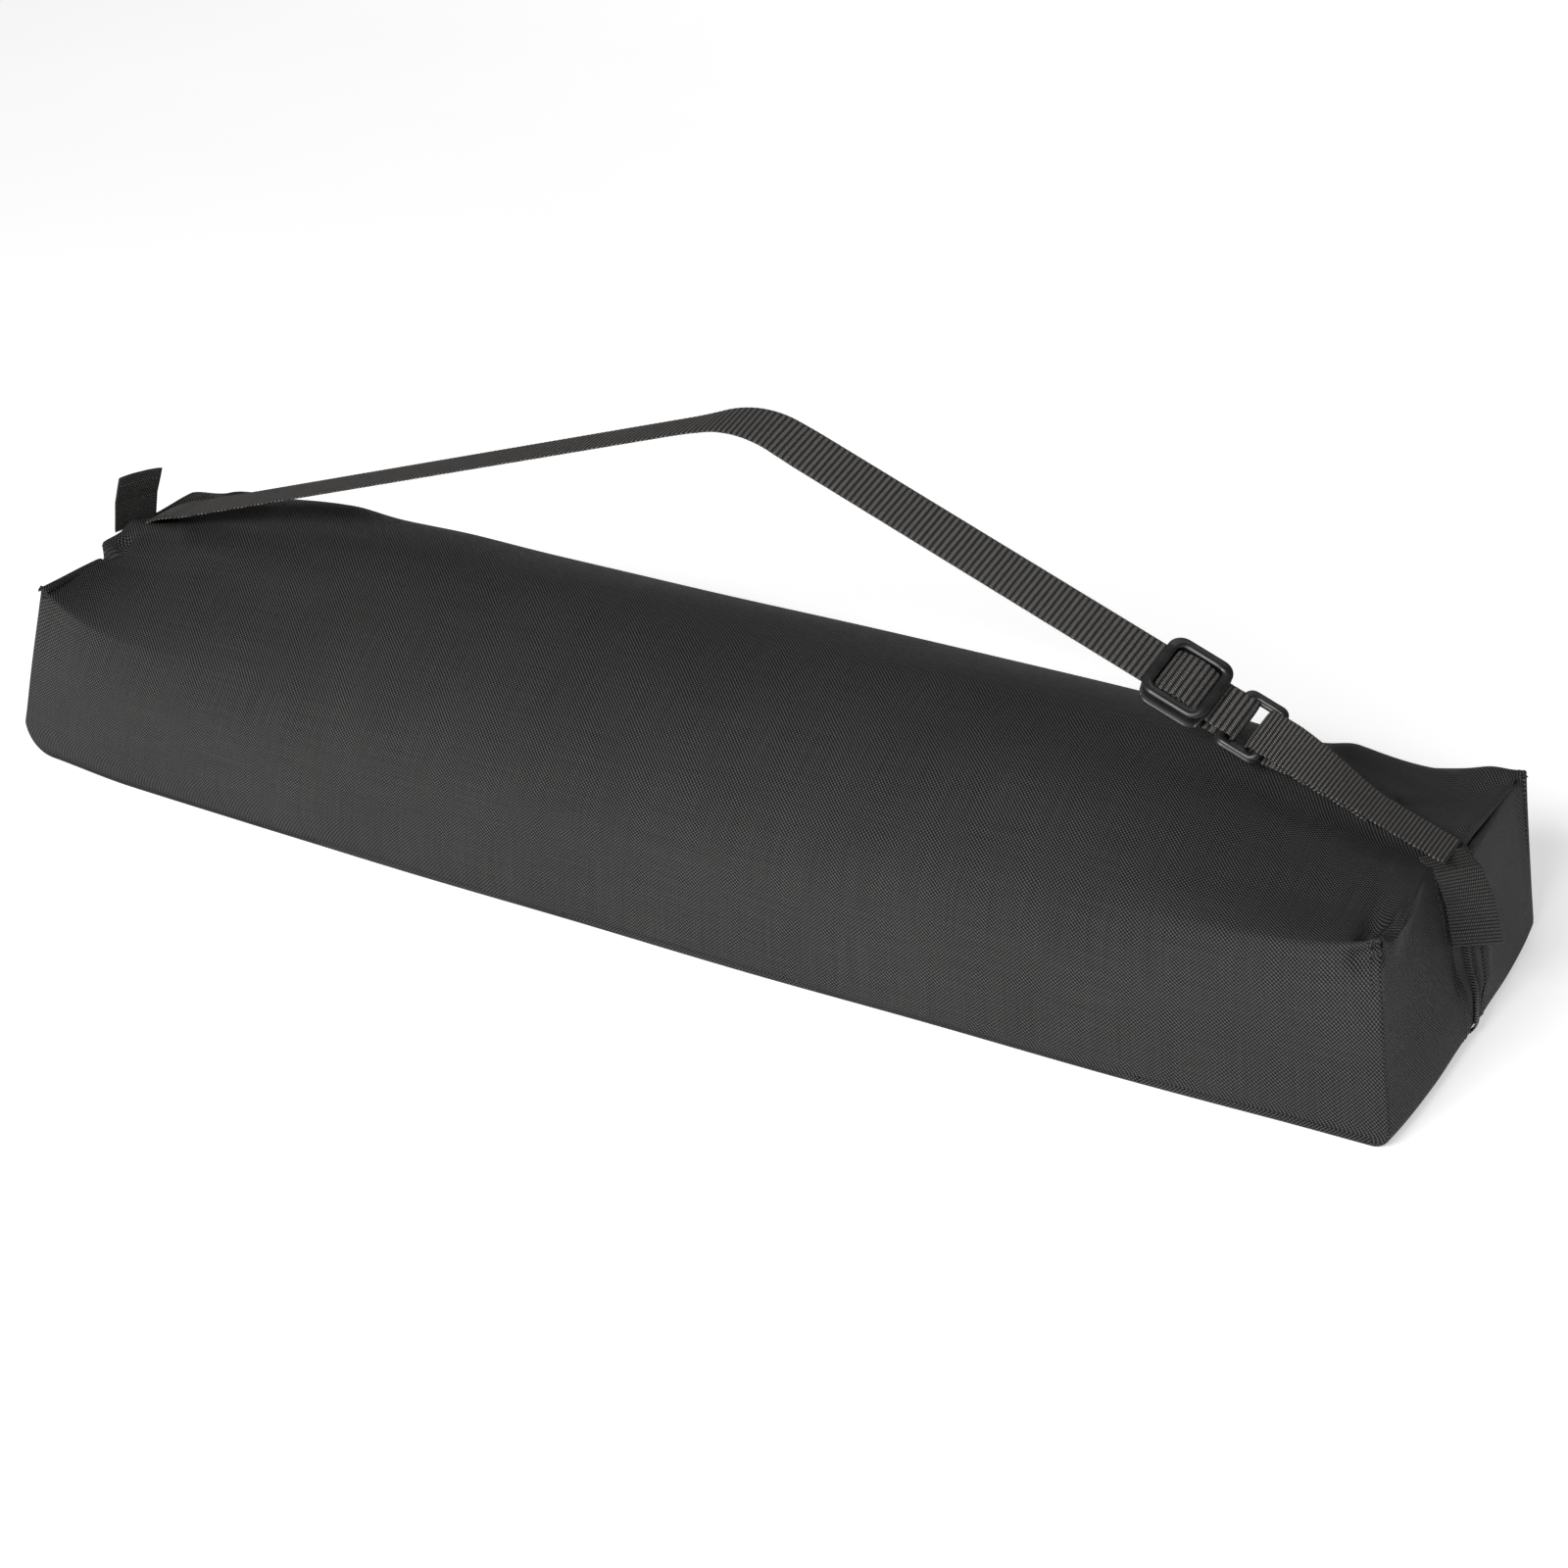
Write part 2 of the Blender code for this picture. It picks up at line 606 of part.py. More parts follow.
def ribbon(name, path, origin=(0.0, 0.0, 0.0)):
    """Webbing whose middle line is a path in the sling's own (s, n) plane."""
    across = (-WEBBING_HALF, WEBBING_HALF)
    outer = [[sling_point(s, n, y) for s, n in offset_path(path, -0.5 * WEBBING)] for y in across]
    inner = [[sling_point(s, n, y) for s, n in offset_path(path, 0.5 * WEBBING)] for y in across]
    return sheet(name, outer, inner, WEB_CLOTH, origin)


def half_loop(s, n, radius, first, last):
    """Points round a bar, between two angles."""
    return [(s + radius * math.cos(a), n + radius * math.sin(a)) for a in steps(first, last, LOOP_STEPS)]


def sling_webbing():
    """The long strap with its fold round the ring, its return layer, and the anchor webbing."""
    axis = (LEFT_SEAM[0], 0.0, LEFT_SEAM[1])
    low = -2 * LOOP_RADIUS
    tail = RING_LEFT_BAR - TAIL
    arc_start, arc_end = arch_span()
    straight = arc_end + STRAIGHT_FROM
    run = steps(sling_start(), arc_start, 6) + steps(arc_start, straight, 12)[1:]
    run += steps(straight, RING_LEFT_BAR, 4)[1:]
    path = [(s, 0.0) for s in run]
    path += half_loop(RING_LEFT_BAR + LOOP_SLACK, -LOOP_RADIUS, LOOP_RADIUS, 0.5 * math.pi, -0.5 * math.pi)
    path.append((tail, low))
    ribbon("sling_strap", path, axis)
    ribbon("strap_return", [(LOOP_MEET + GAP, low), (tail - GAP, low)], axis)

    under = -(WEBBING + GAP)
    anchor = [(ANCHOR_END, under), (ANCHOR_MERGE, under)]
    anchor += [(ANCHOR_BEND, low + ANCHOR_KINK), (ANCHOR_RETURN, low)]
    anchor += half_loop(RING_RIGHT_BAR - LOOP_SLACK, -LOOP_RADIUS, LOOP_RADIUS, 1.5 * math.pi, 0.5 * math.pi)
    anchor += [(s, 0.0) for s in steps(ANCHOR_BEND, ANCHOR_END, 4)]
    ribbon("anchor_strap", anchor, axis)


def strap_end_loop():
    """The strap's sewn end, looped round the tri-glide's centre bar."""
    bar_n = triglide_bar_level()
    low = -2 * LOOP_RADIUS
    radius = bar_n - low
    folded = low + WEBBING + GAP
    path = [(LOOP_TUCK[0], folded), (LOOP_TUCK[1], folded), (LOOP_TUCK[2], bar_n + radius)]
    path += half_loop(LOOP_BAR_S, bar_n, radius, 0.5 * math.pi, 1.5 * math.pi)
    path.append((LOOP_MEET, low))
    ribbon("strap_end_loop", path, sling_point(0.0, 0.0, 0.0))


def triglide_bar_level():
    """Height of the middle of the tri-glide's centre bar, between the strap and its return layer."""
    upper = -(WEBBING + GAP)
    return 0.5 * (upper - 2 * LOOP_RADIUS)


def triglide():
    """Three-bar slide: the strap runs under its outer bars and over its lower centre bar."""
    bar_n = triglide_bar_level()
    over = 0.5 * WEBBING + GAP
    end, window, bar = GLIDE_LONG
    side, rail = GLIDE_WIDE
    ss = [-end, -window, -bar, bar, window, end]
    ys = [-side, -rail, rail, side]
    bar_top = bar_n + GLIDE_CENTRE_BAR
    ns = [bar_n - GLIDE_CENTRE_BAR, bar_top, over, over + GLIDE_OUTER_BAR]

    def filled(s, y, n):
        if abs(y) > rail:
            return True
        if abs(s) > window:
            return n > over
        return abs(s) < bar and n < bar_top

    def place(s, y, n):
        return sling_point(s, n, y)

    obj = cells("triglide", (ss, ys, ns), filled, place, PLASTIC, sling_point(0.0, 0.0, 0.0))
    soften(obj, GLIDE_BEVEL)


def ring():
    """Rectangular ring that joins the strap to the anchor webbing."""
    left, right = RING_LEFT_BAR, RING_RIGHT_BAR
    side, rail = RING_WIDE
    ss = [left - RING_BAR, left + RING_BAR, right - RING_BAR, right + RING_BAR]
    ys = [-side, -rail, rail, side]
    ns = [-LOOP_RADIUS - RING_BAR, -LOOP_RADIUS + RING_BAR]

    def filled(s, y, n):
        return abs(y) > rail or abs(s - left) < RING_BAR or abs(s - right) < RING_BAR

    def place(s, y, n):
        return sling_point(s, n, y)

    obj = cells("ring", (ss, ys, ns), filled, place, PLASTIC, sling_point(right, -LOOP_RADIUS, 0.0))
    soften(obj, RING_BEVEL)


def build():
    clear_scene()
    wrap_panel()
    end_seam_bindings()
    long_seam_bindings()
    gusset_ends()
    bottom_flaps()
    zip_ends()
    zip_stops()
    zip_slider()
    zip_pull()
    tab_left()
    tab_right()
    webbing_roots()
    sling_webbing()
    strap_end_loop()
    triglide()
    ring()


build()
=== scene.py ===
import json
import math

import bmesh
import bpy
import numpy as np
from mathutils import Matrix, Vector


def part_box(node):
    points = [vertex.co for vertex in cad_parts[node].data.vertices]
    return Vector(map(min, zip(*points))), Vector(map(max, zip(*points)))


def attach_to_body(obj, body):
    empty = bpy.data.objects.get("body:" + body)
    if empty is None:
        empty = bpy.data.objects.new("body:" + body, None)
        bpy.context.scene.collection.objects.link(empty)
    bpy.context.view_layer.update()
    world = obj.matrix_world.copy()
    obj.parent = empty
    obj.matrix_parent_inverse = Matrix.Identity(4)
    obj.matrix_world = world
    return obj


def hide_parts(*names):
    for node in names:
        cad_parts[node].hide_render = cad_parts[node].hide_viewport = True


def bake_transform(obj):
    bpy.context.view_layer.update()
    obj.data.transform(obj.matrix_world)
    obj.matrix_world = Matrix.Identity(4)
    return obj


MM = 0.001

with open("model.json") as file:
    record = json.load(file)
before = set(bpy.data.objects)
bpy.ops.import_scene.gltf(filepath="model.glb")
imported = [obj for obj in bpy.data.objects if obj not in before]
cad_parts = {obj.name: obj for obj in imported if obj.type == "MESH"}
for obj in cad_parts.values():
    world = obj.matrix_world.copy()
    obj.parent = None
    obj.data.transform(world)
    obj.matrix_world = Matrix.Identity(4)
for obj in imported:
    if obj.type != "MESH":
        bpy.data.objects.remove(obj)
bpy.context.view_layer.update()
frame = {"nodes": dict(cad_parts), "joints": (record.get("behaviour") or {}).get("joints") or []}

# ------------------------------------------------------------------ sizes taken from the frame

joints = {joint["name"]: joint for joint in frame["joints"]}
body_high = np.array(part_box("wrap_panel")[1])
tape_high = np.array(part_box("zip_tape_right_back")[1])
flap_low, flap_high = (np.array(corner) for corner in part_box("bottom_flap_back"))

HALF_WIDTH = body_high[1]
CROWN_HEIGHT = body_high[2]
FABRIC_EDGE_Y = flap_low[1]
FLAP_HALF_LENGTH = flap_high[0]
TAPE_OUTER_Y = tape_high[1]
BODY_HALF_LENGTH = body_high[0]
LEFT_SEAM = np.array(joints["sling_swing"]["pos_m"], float)

# ------------------------------------------------------------------ shape of the soft body

SHOULDER_HEIGHT = 0.055        # the sides stand upright to here
CROWN_FULLNESS = 1.2 * MM      # the cloth stands this much above the plain crown
CROWN_POWER = 6                # how late the crown falls towards the ends

# Values of the two ends: False is the left end, True the right one
BOX_POWER = {False: 10, True: 6}                # how late the rounded section turns into the boxed end
CORNER_RADIUS = {False: 0.018, True: 0.008}     # lower corners
FOOT_REACH = {False: (0.3975, 0.3985), True: (0.3975, 0.3995)}      # lower corners, front and back
END_BULGE = {False: 0.0110, True: 0.0050}
FOOT_BULGE = 0.0032            # the foot of each end stands out too
RISE_START_X = 0.370           # the underside rises to the zip from the ends to here
FOOT_RISE = 0.2                # share of that rise at the lower corners
ZIP_RISE = 7.5 * MM
RISE_FROM_Y = 0.055
FLOOR_GAP = 0.4 * MM           # the underside clears the floor by this
SEAM_RADIUS = 1.5 * MM         # the cloth turns in along each seam
SEAM_TAIL = 3.0 * MM
CLOTH = 1.1 * MM
WALL_SHARE = 0.24              # share of the section's length on each upright side, boxed
ROUND_SHARE = 0.14             # and rounded
EDGE_LIFT_HEIGHT = 0.03        # the lower edge is lifted to its seam below this height

# End seam as (share of the half width, height, reach): its middle sags and the back corner stands up
SEAM = {
    True: ((-1, 0.1040, 0.3825), (-0.62, 0.0955, 0.3805), (-0.13, 0.0935, 0.3765), (0.13, 0.0945, 0.3860),
           (0.86, 0.0865, 0.3840), (1, 0.0890, 0.3860)),
    False: ((-1, 0.1085, 0.3715), (-0.45, 0.1010, 0.3850), (-0.22, 0.1070, 0.3895), (0.15, 0.1080, 0.3895),
            (0.36, 0.1090, 0.3880), (0.64, 0.1000, 0.3850), (1, 0.0865, 0.3800)),
}

# Soft shapes pushed into the cloth: what it is, a line of points, a reach, how far its middle moves
FOLDS = (
    ("lump beside the right seam",
     ((0.376, -0.036, 0.104), (0.383, -0.064, 0.099), (0.387, -0.078, 0.095)),
     0.0085, (0.0040, -0.002, 0.0085)),
    ("crease from the webbing to the front corner",
     ((0.358, -0.015, 0.107), (0.366, -0.050, 0.104), (0.373, -0.078, 0.100), (0.375, -0.094, 0.101)),
     0.0056, (-0.0015, 0.0, -0.0090)),
    ("seam pulled in, back",
     ((0.386, 0.100, 0.088), (0.3865, 0.050, 0.091), (0.386, 0.018, 0.094)),
     0.0030, (-0.0015, 0.0, -0.0030)),
    ("cloth rolled over that seam",
     ((0.379, 0.092, 0.090), (0.379, 0.030, 0.096)), 0.0050, (0.001, 0.0, 0.0025)),
    ("tuck at the front corner",
     ((0.374, -0.1075, 0.092), (0.384, -0.1075, 0.099)), 0.0050, (-0.001, 0.0045, -0.001)),
    ("crease from the back corner",
     ((0.378, 0.092, 0.089), (0.366, 0.068, 0.093), (0.348, 0.036, 0.100)),
     0.0048, (0.0, 0.0, -0.0045)),
    ("cloth behind that crease",
     ((0.368, 0.098, 0.088), (0.345, 0.088, 0.092), (0.310, 0.082, 0.095)),
     0.0145, (0.0, 0.001, 0.0072)),
    ("pull under the anchor webbing",
     ((0.383, 0.0, 0.096), (0.335, 0.0, 0.108)), 0.0130, (0.0, 0.0, -0.0040)),
    ("hollow behind the hanging tab",
     ((0.392, -0.009, 0.080), (0.399, -0.009, 0.040)), 0.0095, (-0.0050, 0.0, 0.0)),
    ("far side of the zip",
     ((0.392, 0.010, 0.080), (0.401, 0.010, 0.030)), 0.0085, (0.0030, 0.0, 0.0)),
    ("crown above the back crease",
     ((0.352, 0.090, 0.092), (0.345, 0.080, 0.094)), 0.0100, (0.0, 0.0, 0.0022)),
    ("mouth of the left pocket fold",
     ((-0.392, -0.042, 0.1005), (-0.382, -0.042, 0.1015), (-0.376, -0.037, 0.103),
      (-0.379, -0.026, 0.106)), 0.0032, (0.001, 0.0, -0.0048)),
    ("lip of that fold",
     ((-0.388, -0.033, 0.104), (-0.382, -0.031, 0.105)), 0.0058, (-0.0035, -0.002, 0.0003)),
    ("ridge beside the left webbing",
     ((-0.388, -0.012, 0.105), (-0.350, -0.015, 0.112)), 0.0070, (-0.001, 0.0, 0.0030)),
    ("rise behind the left webbing",
     ((-0.372, 0.033, 0.110), (-0.350, 0.034, 0.112)), 0.0150, (0.0, 0.0, 0.0032)),
    ("crown past the left webbing",
     ((-0.335, 0.055, 0.108), (-0.285, 0.055, 0.110)), 0.0200, (0.0, 0.0, 0.0038)),
    ("fullness of the left crown",
     ((-0.290, 0.060, 0.110), (-0.220, 0.060, 0.112)), 0.0450, (0.0, 0.001, 0.0020)),
    ("dip left of the middle",
     ((-0.300, -0.050, 0.112), (-0.240, -0.070, 0.110)), 0.0280, (0.0, 0.002, -0.0016)),
    ("hollow low on the right",
     ((0.300, -0.1075, 0.050), (0.350, -0.1075, 0.040)), 0.0260, (0.0, 0.0025, 0.0)),
    ("fullness at the right shoulder",
     ((0.270, -0.100, 0.085), (0.330, -0.103, 0.085)), 0.0240, (0.0, -0.0030, 0.001)),
    ("fullness of the left front",
     ((-0.340, -0.1075, 0.060), (-0.240, -0.1075, 0.060)), 0.0380, (0.0, -0.0030, 0.0)),
)

BOW = 8.4 * MM                 # the front's long edge bows out in its middle
BACK_BOW_SHARE = 0.6           # and the back's bows in by this share of that
LIFT = 3.0 * MM                # the front's left end stands off the ground
LIFT_FROM_X = -0.32
SIDE_FROM_Y = 0.045            # front and back are what lies outside this, over the next SIDE_EASE
SIDE_EASE = 0.06
RIPPLE = 0.55 * MM             # slow unevenness of the cloth, made of a few seeded waves
RIPPLE_WAVES = 14
RIPPLE_TURNS = (38.0, 90.0, 90.0)   # fastest wave along x, y and z, in radians per metre

WRAP_GRID = (380, 210)
GUSSET_GRID = (44, 110)
FLAP_POINTS = 150


def mix(a, b, t):
    return a + (b - a) * t


def smooth(t):
    t = np.clip(t, 0.0, 1.0)
    return t * t * (3 - 2 * t)


def running_length(line):
    """Distance from a line's first point to each of its points."""
    return np.concatenate([[0.0], np.cumsum(np.linalg.norm(np.diff(line, axis=0), axis=1))])


def points_at(places, run, line):
    """Points of a line at the given running lengths."""
    return np.stack([np.interp(places, run, line[:, k]) for k in range(line.shape[1])], -1)


def unit(vectors):
    length = np.linalg.norm(vectors, axis=-1, keepdims=True)
    return vectors / np.maximum(length, 1e-12)


def seam_value(right, y, column):
    """Height (column 1) or reach (column 2) of the end seam at y, with soft corners between its points."""
    share = np.asarray(y, float) / HALF_WIDTH
    points = np.array(SEAM[right])
    index = np.clip(np.searchsorted(points[:, 0], share) - 1, 0, len(points) - 2)
    start, stop = points[index], points[index + 1]
    t = (share - start[..., 0]) / (stop[..., 0] - start[..., 0])
    return mix(start[..., column], stop[..., column], 0.5 * (np.clip(t, 0, 1) + smooth(t)))


def seam_height(right, y):
    return seam_value(right, y, 1)


def edge_x(z, y, right):
    """How far out an end's outline reaches at height z, on the section line that meets the seam at y."""
    top = seam_height(right, y)
    radius = CORNER_RADIUS[right]
    foot = mix(*FOOT_REACH[right], 0.5 + 0.5 * np.asarray(y) / HALF_WIDTH)
    straight = mix(foot, seam_value(right, y, 2), np.clip((z - radius) / (top - radius), 0, 1))
    drop = np.clip(radius - z, 0, radius)
    return np.where(z >= radius, straight, foot - radius + np.sqrt(np.maximum(radius ** 2 - drop ** 2, 0)))


def distance_to_line(points, line):
    """Distance from each point to a line of points."""
    nearest = np.full(points.shape[:-1], np.inf)
    for a, b in zip(line[:-1], line[1:]):
        a, b = np.array(a), np.array(b)
        t = np.clip((points - a) @ (b - a) / ((b - a) @ (b - a)), 0, 1)
        nearest = np.minimum(nearest, np.linalg.norm(points - a - t[..., None] * (b - a), axis=-1))
    return nearest


def ripples(points):
    """Slow unevenness of the cloth, from a few seeded waves."""
    random = np.random.default_rng(11)
    total = np.zeros(points.shape[:-1])
    for _ in range(RIPPLE_WAVES):
        wave = random.uniform(-1, 1, 3) * np.array(RIPPLE_TURNS)
        total += np.sin(points @ wave + random.uniform(0, 2 * math.pi)) / RIPPLE_WAVES
    return total * 2


def settle(points):
    """Moves points of the plain body shape to where the soft body really hangs."""
    x, y, z = points[..., 0], points[..., 1], points[..., 2]
    moved = points.copy()
    out = np.clip(np.abs(x / BODY_HALF_LENGTH), 0, 1)
    along = np.where(x > 0, 1 - 0.75 * out ** 2.2, 1 - out ** 2)
    front = smooth((-y - SIDE_FROM_Y) / SIDE_EASE)
    back = smooth((y - SIDE_FROM_Y) / SIDE_EASE)
    low = smooth(1.25 - z / 0.1)
    moved[..., 1] -= BOW * along * (front - BACK_BOW_SHARE * back) * low
    left = smooth((LIFT_FROM_X - x) / 0.07)
    moved[..., 2] += LIFT * left * front * smooth(1 - z / 0.09)
    for _, line, reach, move in FOLDS:
        near = np.exp(-(distance_to_line(points, line) / reach) ** 2)
        moved += near[..., None] * np.array(move)
    uneven = ripples(points) * RIPPLE
    moved[..., 1] += uneven * (front - back)
    moved[..., 2] += uneven * smooth((z - 0.06) / 0.04)
    return moved


# ------------------------------------------------------------------ mesh building


def grid_faces(rows, columns, flip):
    index = np.arange(rows * columns).reshape(rows, columns)
    quads = np.stack([index[:-1, :-1], index[1:, :-1], index[1:, 1:], index[:-1, 1:]], -1).reshape(-1, 4)
    return quads[:, ::-1] if flip else quads


def ring_faces(rings, around, closed=False):
    """Numbers of the points of a run of rings, and the faces between them; a closed run joins up."""
    index = np.arange(rings * around).reshape(rings, around)
    beside = np.roll(index, -1, axis=1)
    faces = np.stack([index, beside, np.roll(beside, -1, axis=0), np.roll(index, -1, axis=0)], -1)
    return index, (faces if closed else faces[:-1]).reshape(-1, 4)


def lengths(grid, axis):
    """Running length along one direction of a grid, averaged over the other."""
    steps = np.linalg.norm(np.diff(grid, axis=axis), axis=-1).mean(axis=1 - axis)
    return np.concatenate([[0.0], np.cumsum(steps)])


def build_mesh(name, points, faces, uv=None, look=None, smooth_shading=True):
    """One object from points and faces, with uv per point, in metres along and across the cloth."""
    mesh = bpy.data.meshes.new(name)
    corners_of_faces = [[int(corner) for corner in face] for face in faces]
    mesh.from_pydata(np.asarray(points, float).reshape(-1, 3).tolist(), [], corners_of_faces)
    if uv is not None:
        layer = mesh.uv_layers.new(name="Cloth")
        corners = np.zeros(len(mesh.loops), np.int32)
        mesh.loops.foreach_get("vertex_index", corners)
        layer.data.foreach_set("uv", np.asarray(uv, np.float32).reshape(-1, 2)[corners].ravel())
    if smooth_shading:
        mesh.shade_smooth()
    mesh.validate()
    if look:
        mesh.materials.append(look)
    obj = bpy.data.objects.new(name, mesh)
    bpy.context.scene.collection.objects.link(obj)
    return obj


def cloth_piece(name, grid, look, flip=False, thickness=CLOTH):
    """A cloth surface with real thickness, from a grid of points."""
    rows, columns = grid.shape[:2]
    u, v = np.meshgrid(lengths(grid, 0), lengths(grid, 1), indexing="ij")
    obj = build_mesh(name, grid, grid_faces(rows, columns, flip), np.stack([u, v], -1), look)
    wall = obj.modifiers.new("Wall", "SOLIDIFY")
    wall.thickness = thickness
    wall.offset = -1
    wall.use_even_offset = False
    return obj


def normals_of(grid, flip):
    across = np.cross(np.gradient(grid, axis=0), np.gradient(grid, axis=1))
    return unit(-across if flip else across)


HEM = (0.5 * MM, 1.0 * MM)     # radius and tail of the turned edge beside the zip


def turn_in(grid, axis, at_end, flip, radius=SEAM_RADIUS, tail=SEAM_TAIL):
    """Adds rows to one edge of a grid that roll the cloth inwards, as a sewn seam does."""
    work = np.moveaxis(grid, axis, 0)
    face = np.moveaxis(normals_of(grid, flip), axis, 0)
    edge, before, out = (work[-1], work[-2], face[-1]) if at_end else (work[0], work[1], face[0])
    ahead = edge - before
    ahead = unit(ahead - (ahead * out).sum(-1, keepdims=True) * out)
    rows = []
    for angle in np.radians((25, 50, 75, 90)):
        rows.append(edge + ahead * radius * math.sin(angle) - out * radius * (1 - math.cos(angle)))
    rows.append(rows[-1] - out * tail)
    rows = np.array(rows)
    work = np.concatenate([work, rows]) if at_end else np.concatenate([rows[::-1], work])
    return np.moveaxis(work, 0, axis)


# ------------------------------------------------------------------ wrap panel


def wrap_surface(s, u):
    """Points of the wrap panel: s runs from the left end (-1) to the right (1), u from the front's
    bottom edge (0) over the top to the back's bottom edge (1)."""
    s, u = np.meshgrid(s, u, indexing="ij")
    mirrored = np.where(u > 0.5, 1 - u, u)
    sign = np.where(u > 0.5, 1.0, -1.0)
    angle = 0.5 * math.pi * np.clip((mirrored - ROUND_SHARE) / (0.5 - ROUND_SHARE), 0, 1)
    round_y = sign * HALF_WIDTH * np.cos(angle)
    rise = CROWN_HEIGHT + CROWN_FULLNESS - SHOULDER_HEIGHT
    round_z = np.where(mirrored < ROUND_SHARE, SHOULDER_HEIGHT * mirrored / ROUND_SHARE,
                       SHOULDER_HEIGHT + rise * np.sin(angle))
    across = np.clip((mirrored - WALL_SHARE) / (0.5 - WALL_SHARE), 0, 1)
    box_y = sign * HALF_WIDTH * (1 - across)
    top = np.where(s > 0, seam_height(True, box_y), seam_height(False, box_y))
    box_z = np.where(mirrored < WALL_SHARE, top * mirrored / WALL_SHARE, top)
    boxing = np.abs(s) ** np.where(s > 0, BOX_POWER[True], BOX_POWER[False])
    fall = np.abs(s) ** CROWN_POWER
    round_z = round_z * (1 - (CROWN_HEIGHT - top) * fall / CROWN_HEIGHT)
    y = mix(round_y, box_y, boxing)
    z = mix(round_z, box_z, boxing)
    reach = np.where(s > 0, edge_x(z, box_y, True), edge_x(z, box_y, False))
    z = z + (SEAM_RADIUS + FLOOR_GAP) * (1 - np.clip(z / EDGE_LIFT_HEIGHT, 0, 1))
    return np.stack([s * (reach - SEAM_RADIUS), y, z], -1)


def wrap_panel(look):
    rows, columns = WRAP_GRID
    s = np.sin(0.5 * math.pi * np.linspace(-1, 1, rows))
    u = np.linspace(0, 1, columns)
    grid = settle(wrap_surface(s, u))
    for axis in (0, 1):
        for at_end in (False, True):
            grid = turn_in(grid, axis, at_end, False)
    piece = cloth_piece("bag_wrap", grid, look)
    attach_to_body(piece, "shell")
    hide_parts("wrap_panel")


END_BINDING_SPAN = (0.962, 0.992)       # in s, just inside an end seam
END_BINDING_SIDES = (0.03, 0.97)        # in u
LONG_BINDING_SPAN = (0.012, 0.032)      # in u, just inside a long edge
LONG_BINDING_REACH = 0.955              # in s
BINDING_DEPTH = 2.6 * MM
BINDING = 0.7 * MM


def bindings(look):
    """Binding tape inside each end seam and each long bottom edge."""
    sides = np.linspace(*END_BINDING_SIDES, 90)
    for side, name in ((-1, "left"), (1, "right")):
        s = np.sort(side * np.linspace(*END_BINDING_SPAN, 6))
        binding_piece("binding_end_" + name, s, sides, look, "end_binding_" + name)
    s = np.linspace(-LONG_BINDING_REACH, LONG_BINDING_REACH, 160)
    u = np.linspace(*LONG_BINDING_SPAN, 5)
    binding_piece("binding_long_front", s, u, look, "long_binding_front")
    binding_piece("binding_long_back", s, np.sort(1 - u), look, "long_binding_back")


def binding_piece(name, s, u, look, cad):
    grid = settle(wrap_surface(s, u))
    grid = grid - normals_of(grid, False) * BINDING_DEPTH
    piece = cloth_piece(name, grid, look, False, BINDING)
    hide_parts(cad)
    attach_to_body(piece, "shell")


# ------------------------------------------------------------------ gusset: ends and bottom flaps


def bottom_z(y):
    return FLOOR_GAP + ZIP_RISE * smooth((RISE_FROM_Y - np.abs(y)) / (RISE_FROM_Y - TAPE_OUTER_Y))


END_CORNER_SHARE = 0.12         # share of an end line's points round its lower corner
END_UNDER_SHARE = 0.38          # and under the bag
TENT_POWER = 1.15               # how the bulge of an end falls from its middle to its sides
FOOT_HEIGHT = 0.05


def end_line(y, right, count, top_drop, inset):
    """Reach and height of a line down an end at y, round its lower corner and in under the bag."""
    corner, under = int(count * END_CORNER_SHARE), int(count * END_UNDER_SHARE)
    top = float(seam_height(right, y))
    rise = float(bottom_z(y))
    floor = mix(FLOOR_GAP, rise, FOOT_RISE)
    radius = CORNER_RADIUS[right]
    tent = (1 - abs(y) / HALF_WIDTH) ** TENT_POWER
    z = np.linspace(top - top_drop, radius + floor, count - corner - under)
    foot = (1 - (abs(y) / HALF_WIDTH) ** 4) * FOOT_BULGE * smooth(1.2 - z / FOOT_HEIGHT)
    out = tent * END_BULGE[right] * np.sin(math.pi * z / top) + foot
    line = [np.stack([edge_x(z, y, right) + out, z], -1)]
    start = line[0][-1, 0]
    angle = np.linspace(0, math.pi / 2, corner + 1)[1:]
    x = start - radius * (1 - np.cos(angle))
    line.append(np.stack([x, floor + radius * (1 - np.sin(angle))], -1))
    x = np.linspace(x[-1], FLAP_HALF_LENGTH, under + 1)[1:]
    line.append(np.stack([x, mix(floor, rise, smooth((x[0] - x) / (x[0] - RISE_START_X)))], -1))
    line = np.concatenate(line)
    if inset:
        ahead = unit(np.gradient(line, axis=0))
        line = line + np.stack([ahead[:, 1], -ahead[:, 0]], -1) * inset
    return line


def end_surface(columns, side, inset, top_drop):
    """Grid of points on an end of the gusset, one line of the grid for each y."""
    grid = []
    for y in columns:
        line = end_line(y, side > 0, GUSSET_GRID[1], top_drop, inset)
        grid.append(np.stack([side * line[:, 0], np.full(len(line), y), line[:, 1]], -1))
    return settle(np.array(grid))


def blend_with_flap(piece):
    """Bakes the piece's placement into its points; the piece is attached to neither the flap nor the shell.
    """
    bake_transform(piece)


def each_end():
    for side, side_name in ((-1, "left"), (1, "right")):
        for half, half_name in ((-1, "front"), (1, "back")):
            yield side, half, side_name, half_name


